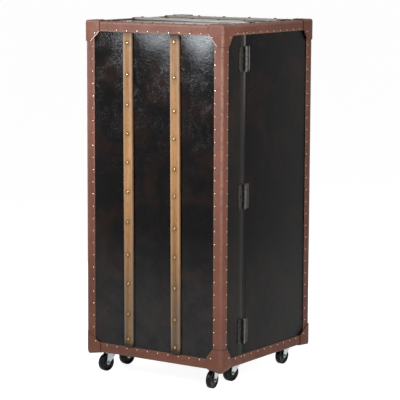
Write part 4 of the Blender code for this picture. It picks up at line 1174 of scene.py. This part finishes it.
def screwed_plate(low, high, z):
    """A plate on the left side with a screw in each corner. Its Z looks to -X and its Y along Z."""
    rounding, margin, screw = 0.006, 0.006, 0.003
    width, height = high.y - low.y, high.z - low.z
    y = (low.y + high.y) / 2
    place = Matrix(((0, 0, -1, high.x), (-1, 0, 0, y), (0, 1, 0, z), (0, 0, 0, 1)))
    shape = bmesh.new()
    plate(shape, rounded_rectangle(width, height, rounding, 6), HASP_SHEET, place)
    for x_side in (-1, 1):
        for y_side in (-1, 1):
            spot = x_side * (width / 2 - margin), y_side * (height / 2 - margin), HASP_SHEET
            screw_head(shape, place @ Matrix.Translation(spot), screw)
    return shape


def add_hasp_plate():
    """The door's plate with two ears, between which the strap turns."""
    node, gap, ear, half_web = "hasp_plate", 0.0004, 0.0083, 0.002
    low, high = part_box(node)
    axis = HASP_AXIS
    shape = screwed_plate(low, high, axis.z)
    bottom, top = axis.z - HASP_BARREL, axis.z + HASP_BARREL
    for start, end in ((top + gap, top + ear), (bottom - ear, bottom - gap)):
        upright_bar(shape, BARREL_RADIUS, axis, start, end)
        web = (axis.x, axis.y - half_web, start), (high.x - HASP_SHEET / 2, axis.y + half_web, end)
        box(shape, *web, 0.0003, 1)
    new_piece(f"{node}_brass", node, shape, (BRASS,))


def add_strap():
    """The swinging strap, a plate with a round end and a slot for the staple, on its barrel and pin."""
    thickness, gap, pin_radius, slot_size = 0.0025, 0.0006, 0.0017, (0.009, 0.017)
    low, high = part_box("hasp")
    axis = HASP_AXIS
    shape = bmesh.new()
    upright_bar(shape, BARREL_RADIUS, axis, axis.z - HASP_BARREL, axis.z + HASP_BARREL)
    upright_bar(shape, pin_radius, axis, low.z, high.z, 16, 0.0004)
    staple_y = sum(corner.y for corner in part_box("hasp_keeper")) / 2
    length, width = high.y - axis.y, 2 * HASP_BARREL - gap
    outer = [(x + length / 2, y) for x, y in rounded_rectangle(length, width, 0.007, 8)]
    slot = [(x + staple_y - axis.y, y) for x, y in rounded_rectangle(*slot_size, 0.002, 8)]
    rings = []
    for outline, side in ((outer, -1), (outer, 1), (slot, 1), (slot, -1)):
        level = axis.x + side * thickness / 2
        rings.append([Vector((level, axis.y + along, axis.z + across)) for along, across in outline])
    skin(shape, rings, True)
    new_piece("hasp_strap", "hasp", shape, (BRASS,))


def add_keeper():
    """The body's plate with the wire staple."""
    node, wire, half, sides = "hasp_keeper", 0.0022, 0.0046, 14
    low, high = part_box(node)
    middle = (low + high) / 2
    shape = screwed_plate(low, high, middle.z)
    foot = high.x - HASP_SHEET / 2
    bend = low.x + wire + half
    route = [(foot, -half), (bend, -half)]
    route += [(bend + x, z) for x, z in arc((0, 0), half, -90, -270, 12)]
    route += [(foot, half)]
    rings = []
    for i, (x, z) in enumerate(route):
        before, after = route[max(0, i - 1)], route[min(len(route) - 1, i + 1)]
        tangent = Vector((after[0] - before[0], 0, after[1] - before[1])).normalized()
        side = tangent.cross(AXES[1])
        center = Vector((x, middle.y, middle.z + z))
        rings.append([center + (AXES[1] * math.cos(a) + side * math.sin(a)) * wire for a in circle(sides)])
    skin(shape, rings)
    new_piece(f"{node}_brass", node, shape, (BRASS,))


# Casters


def add_casters():
    for name in CASTERS:
        swivel, hub = JOINT_PLACE[f"{name}_swivel"], JOINT_PLACE[f"{name}_wheel_spin"]
        trail = Vector((hub.x - swivel.x, hub.y - swivel.y, 0))
        back = trail.normalized()
        turn = Matrix((back.cross(UP), -back, UP)).transposed().to_4x4()
        place = Matrix.Translation((swivel.x, swivel.y, 0)) @ turn
        add_fork(f"{name}_caster_fork", place, trail.length, hub.z)
        add_wheel(f"{name}_caster_wheel", place, trail.length, hub.z)


def fork_reach(height, trail, hub):
    """From and to where a fork leg runs along the trail at a height above the floor."""
    if height < hub:
        half = math.sqrt(max(FORK_FOOT**2 - (hub - height) ** 2, TINY**2))
        return trail - half, trail + half
    back_curve = 0.9
    share = min(1.0, (height - hub) / (hub + WHEEL_CROWN_GAP))
    eased = share**back_curve
    back = (trail - FORK_FOOT) * (1 - eased) + FORK_CROWN[0] * eased
    return back, (trail + FORK_FOOT) * (1 - share) + FORK_CROWN[1] * share


def add_fork_sheet(shape, trail, hub, top):
    """The bent sheet of a fork: up one leg, over the crown and down the other."""
    foot = hub - FORK_FOOT
    outside, level = FORK_INSIDE + FORK_SHEET / 2, top - FORK_SHEET / 2  # it thickens inwards from these
    shoulder = level - FORK_BEND
    heights = [foot + rise for rise in (0.00005, 0.0006, 0.002, 0.004)]
    heights += split(hub, shoulder, 6)
    half_path = [(outside, height) for height in heights]
    half_path += arc((outside - FORK_BEND, shoulder), FORK_BEND, 0, 90, 5)[1:]
    path = half_path + [(-x, z) for x, z in reversed(half_path)]
    grid(shape, [[(x, -y, z) for y in split(*fork_reach(z, trail, hub), 8)] for x, z in path])
    bmesh.ops.recalc_face_normals(shape, faces=shape.faces)
    bmesh.ops.solidify(shape, geom=shape.faces, thickness=FORK_SHEET)


def add_fork(node, place, trail, hub):
    """A pressed fork with bent shoulders, its swivel race and kingpin, and its axle bolt."""
    race, kingpin, axle, sunk, race_gap, kingpin_reach = 0.0095, 0.0050, 0.003, 0.0015, 0.0003, 0.0077
    nut = (0.0048, -0.0004), (0.0048, 0.0019), (0.0042, 0.0024)
    bolt_end = (0.0028, 0.0016), (0.0028, 0.0030), (0.0023, 0.0034)
    top, board, outer = CASE_BOTTOM - CROWN_CASE_GAP, FRONT_LOW.z, FORK_INSIDE + FORK_SHEET
    shape = bmesh.new()
    add_fork_sheet(shape, trail, hub, top)
    turned(shape, [(race, top - sunk), (race, board - race_gap)], 28, Matrix.Identity(4))
    turned(shape, [(kingpin, top - sunk), (kingpin, board + kingpin_reach)], 16, Matrix.Identity(4))
    pressing = set(shape.faces)
    for side in (-1, 1):
        face = on_face((side * outer, -trail, hub), (side, 0, 0))
        turned(shape, nut, 6, face)
        turned(shape, bolt_end, 14, face)
    rounded_bar(shape, axle, (-outer, -trail, hub), (outer, -trail, hub), 16)
    for face in set(shape.faces) - pressing:
        face.material_index = 1
    bmesh.ops.transform(shape, matrix=place, verts=shape.verts)
    new_piece(f"{node}_pressing", node, shape, (ZINC, BOLT_STEEL))


def add_wheel(node, place, trail, hub):
    """A solid wheel: a crowned tread, dished sides with a raised hub, and a bore for the axle."""
    half, half_hub, half_web, edge, tread = 0.009, 0.010, 0.0066, 0.0026, 0.0025
    upper = [(0.0036, half_hub - 0.0006), (0.0042, half_hub), (0.0074, half_hub)]
    upper += [(0.0082, half_hub - 0.0008), (0.0090, 0.0072), (0.0100, half_web)]
    upper += [(hub - 0.0090, half_web), (hub - 0.0078, 0.0072)]
    upper += [(hub - 0.0066, half - 0.0006), (hub - 0.0058, half)]
    for angle in (0.1, 0.5, 0.9, 1.3):
        upper.append((hub - edge + edge * math.sin(angle), half - edge + edge * math.cos(angle)))
    profile = upper + [(hub, 0.0)] + [(radius, -height) for radius, height in reversed(upper)]
    shape = bmesh.new()
    wear_and_highlight, _ = wear_and_light_layers(shape)
    turn = place @ Matrix.Translation((0, -trail, hub)) @ Matrix.Rotation(math.pi / 2, 4, "Y")
    for ring, (radius, _) in zip(turned(shape, profile, 48, turn, True), profile):
        for vert in ring:
            vert[wear_and_highlight] = 1.0 if radius > hub - tread else 0.0
    new_piece(f"{node}_tyre", node, shape, (WHEEL_BLACK,))


# Bar fittings inside


def add_timber(node, material):
    """A wooden piece with a node's own shape and eased edges."""
    flat, sharp, weld = math.radians(1), math.radians(40), 0.00002
    shape = bmesh.new()
    shape.from_mesh(frame["nodes"][node].data)
    bmesh.ops.remove_doubles(shape, verts=shape.verts, dist=weld)
    bmesh.ops.dissolve_limit(shape, angle_limit=flat, verts=shape.verts, edges=shape.edges)
    inner = [edge for edge in shape.edges if len(edge.link_faces) == 2]
    round_edges(shape, [edge for edge in inner if edge.calc_face_angle(0) > sharp], VENEER_ROUNDING, 2)
    new_piece(f"{node}_timber", node, shape, (material,))


def add_knob():
    """The drawer's turned brass knob. Its head is given in shares of its radius and length."""
    low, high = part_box("drawer_knob")
    middle = (low + high) / 2
    length, radius = high.y - low.y, (high.z - low.z) / 2
    foot = (0.62, 0.0), (0.62, 0.0010), (0.46, 0.0022)
    head = (0.42, 0.38), (0.60, 0.50), (0.92, 0.62), (1.0, 0.76), (0.93, 0.89), (0.70, 0.97), (0.30, 1.0)
    profile = [(radius * share, height) for share, height in foot]
    profile += [(radius * share, length * height) for share, height in head]
    shape = bmesh.new()
    turned(shape, profile, 32, on_face((middle.x, high.y, middle.z), -AXES[1]))
    new_piece("drawer_knob_turned", "drawer_knob", shape, (BRASS,))


def add_guard_rail(node):
    """A brass rail between two turned sockets."""
    low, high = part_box(node)
    middle = (low + high) / 2
    radius = (high.z - low.z) / 2
    left, right = (low.x, middle.y, middle.z), (high.x, middle.y, middle.z)
    widths = (1.9, 0.0), (1.9, 0.0016), (1.5, 0.0026), (1.3, 0.0034), (1.25, 0.009)
    socket = [(radius * share, height) for share, height in widths]
    shape = bmesh.new()
    rounded_bar(shape, radius, left, right)
    turned(shape, socket, 24, on_face(left, AXES[0]))
    turned(shape, socket, 24, on_face(right, -AXES[0]))
    new_piece(f"{node}_brass", node, shape, (BRASS,))


def add_fittings():
    for node in SHELVES + DOOR_SHELVES:
        add_timber(node, SHELF_WOOD)
    add_timber("stemware_rack", RAIL_WOOD)
    add_knob()
    for name in ("lower", "middle", "upper"):
        add_guard_rail(f"door_{name}_guard_rail")


# Floor, light and camera


def seen_or_reflected(tree):
    """1 for rays from the camera and for mirror or glass rays, which see the white background."""
    rays = add_node(tree, "ShaderNodeLightPath").outputs
    shown = calculate("MAXIMUM", rays["Is Camera Ray"], rays["Is Glossy Ray"])
    return calculate("MAXIMUM", shown, rays["Is Transmission Ray"])


def add_floor():
    """A plain white floor that keeps a faint shadow."""
    reach, grey, glow = 40.0, (0.55, 0.55, 0.55, 1.0), 0.93
    material, tree, shader = new_material("white_floor")
    tree.nodes.remove(shader)
    lit = add_node(tree, "ShaderNodeBsdfDiffuse", {"Color": grey}).outputs["BSDF"]
    strength = multiply(seen_or_reflected(tree), glow)
    glowing = add_node(tree, "ShaderNodeEmission", {"Strength": strength}).outputs["Emission"]
    both = add_node(tree, "ShaderNodeAddShader", {0: lit, 1: glowing}).outputs[0]
    set_inputs(tree.nodes["Material Output"], {"Surface": both})
    shape = bmesh.new()
    bmesh.ops.create_grid(shape, x_segments=1, y_segments=1, size=reach)
    new_object("floor", finished_mesh("floor", shape, (material,)))


def add_world():
    """White where it is seen or mirrored, and a dimmer fill for the rest."""
    fill, white = 0.10, (1.0, 1.0, 1.0, 1.0)
    world = bpy.data.worlds.new("studio")
    bpy.context.scene.world = world
    world.use_nodes = True
    tree = world.node_tree
    strength = calculate("MAXIMUM", seen_or_reflected(tree), fill)
    set_inputs(tree.nodes["Background"], {"Color": white, "Strength": strength})


def add_softbox(name, place, target, size, power, color=(1.0, 1.0, 1.0)):
    light = bpy.data.lights.new(name, "AREA")
    light.color = color
    light.shape = "RECTANGLE"
    light.size, light.size_y = size
    light.energy = power
    lamp = new_object(name, light)
    lamp.location = place
    lamp.rotation_euler = (Vector(target) - Vector(place)).to_track_quat("-Z", "Y").to_euler()


def add_lights():
    middle, top_right, right_side = (0.0, 0.0, 0.75), (0.15, -0.27, 1.12), (0.27, -0.2, 0.95)
    cool = 0.88, 0.94, 1.0
    add_softbox("key_softbox", (-0.43, -1.38, 1.18), top_right, (0.26, 0.22), 14.0, cool)
    add_softbox("wing_softbox", (-0.72, -1.32, 1.19), top_right, (0.22, 0.14), 5.2, cool)
    add_softbox("front_softbox", (-0.2, -2.4, 1.75), middle, (0.7, 0.7), 4.0)
    add_softbox("right_softbox", (1.05, -0.85, 0.98), right_side, (0.4, 1.2), 16.0)
    add_softbox("top_softbox", (0.1, -0.3, 2.9), middle, (1.6, 1.6), 5.0)
    add_softbox("back_softbox", (-1.7, 1.3, 0.7), middle, (1.0, 0.8), 26.0)


def add_camera():
    turn = Matrix.Rotation(CAMERA_AZIMUTH, 4, "Z") @ Matrix.Rotation(math.pi / 2 - CAMERA_ELEVATION, 4, "X")
    place = turn @ Vector((CAMERA_SHIFT, 0.0, CAMERA_DISTANCE)) + UP * CAMERA_HEIGHT
    camera = bpy.data.cameras.new("camera")
    camera.lens = CAMERA_LENS
    camera.sensor_width = CAMERA_SENSOR
    camera.clip_end = CAMERA_FAR_END
    viewer = new_object("camera", camera)
    viewer.matrix_world = Matrix.Translation(place) @ turn @ Matrix.Rotation(CAMERA_ROLL, 4, "Z")
    bpy.context.scene.camera = viewer


add_camera()
add_boards()
add_bindings()
add_caps()
add_slats()
add_hinges()
add_hasp()
add_casters()
add_fittings()
add_floor()
add_world()
add_lights()
bpy.context.scene.view_settings.view_transform = "Standard"
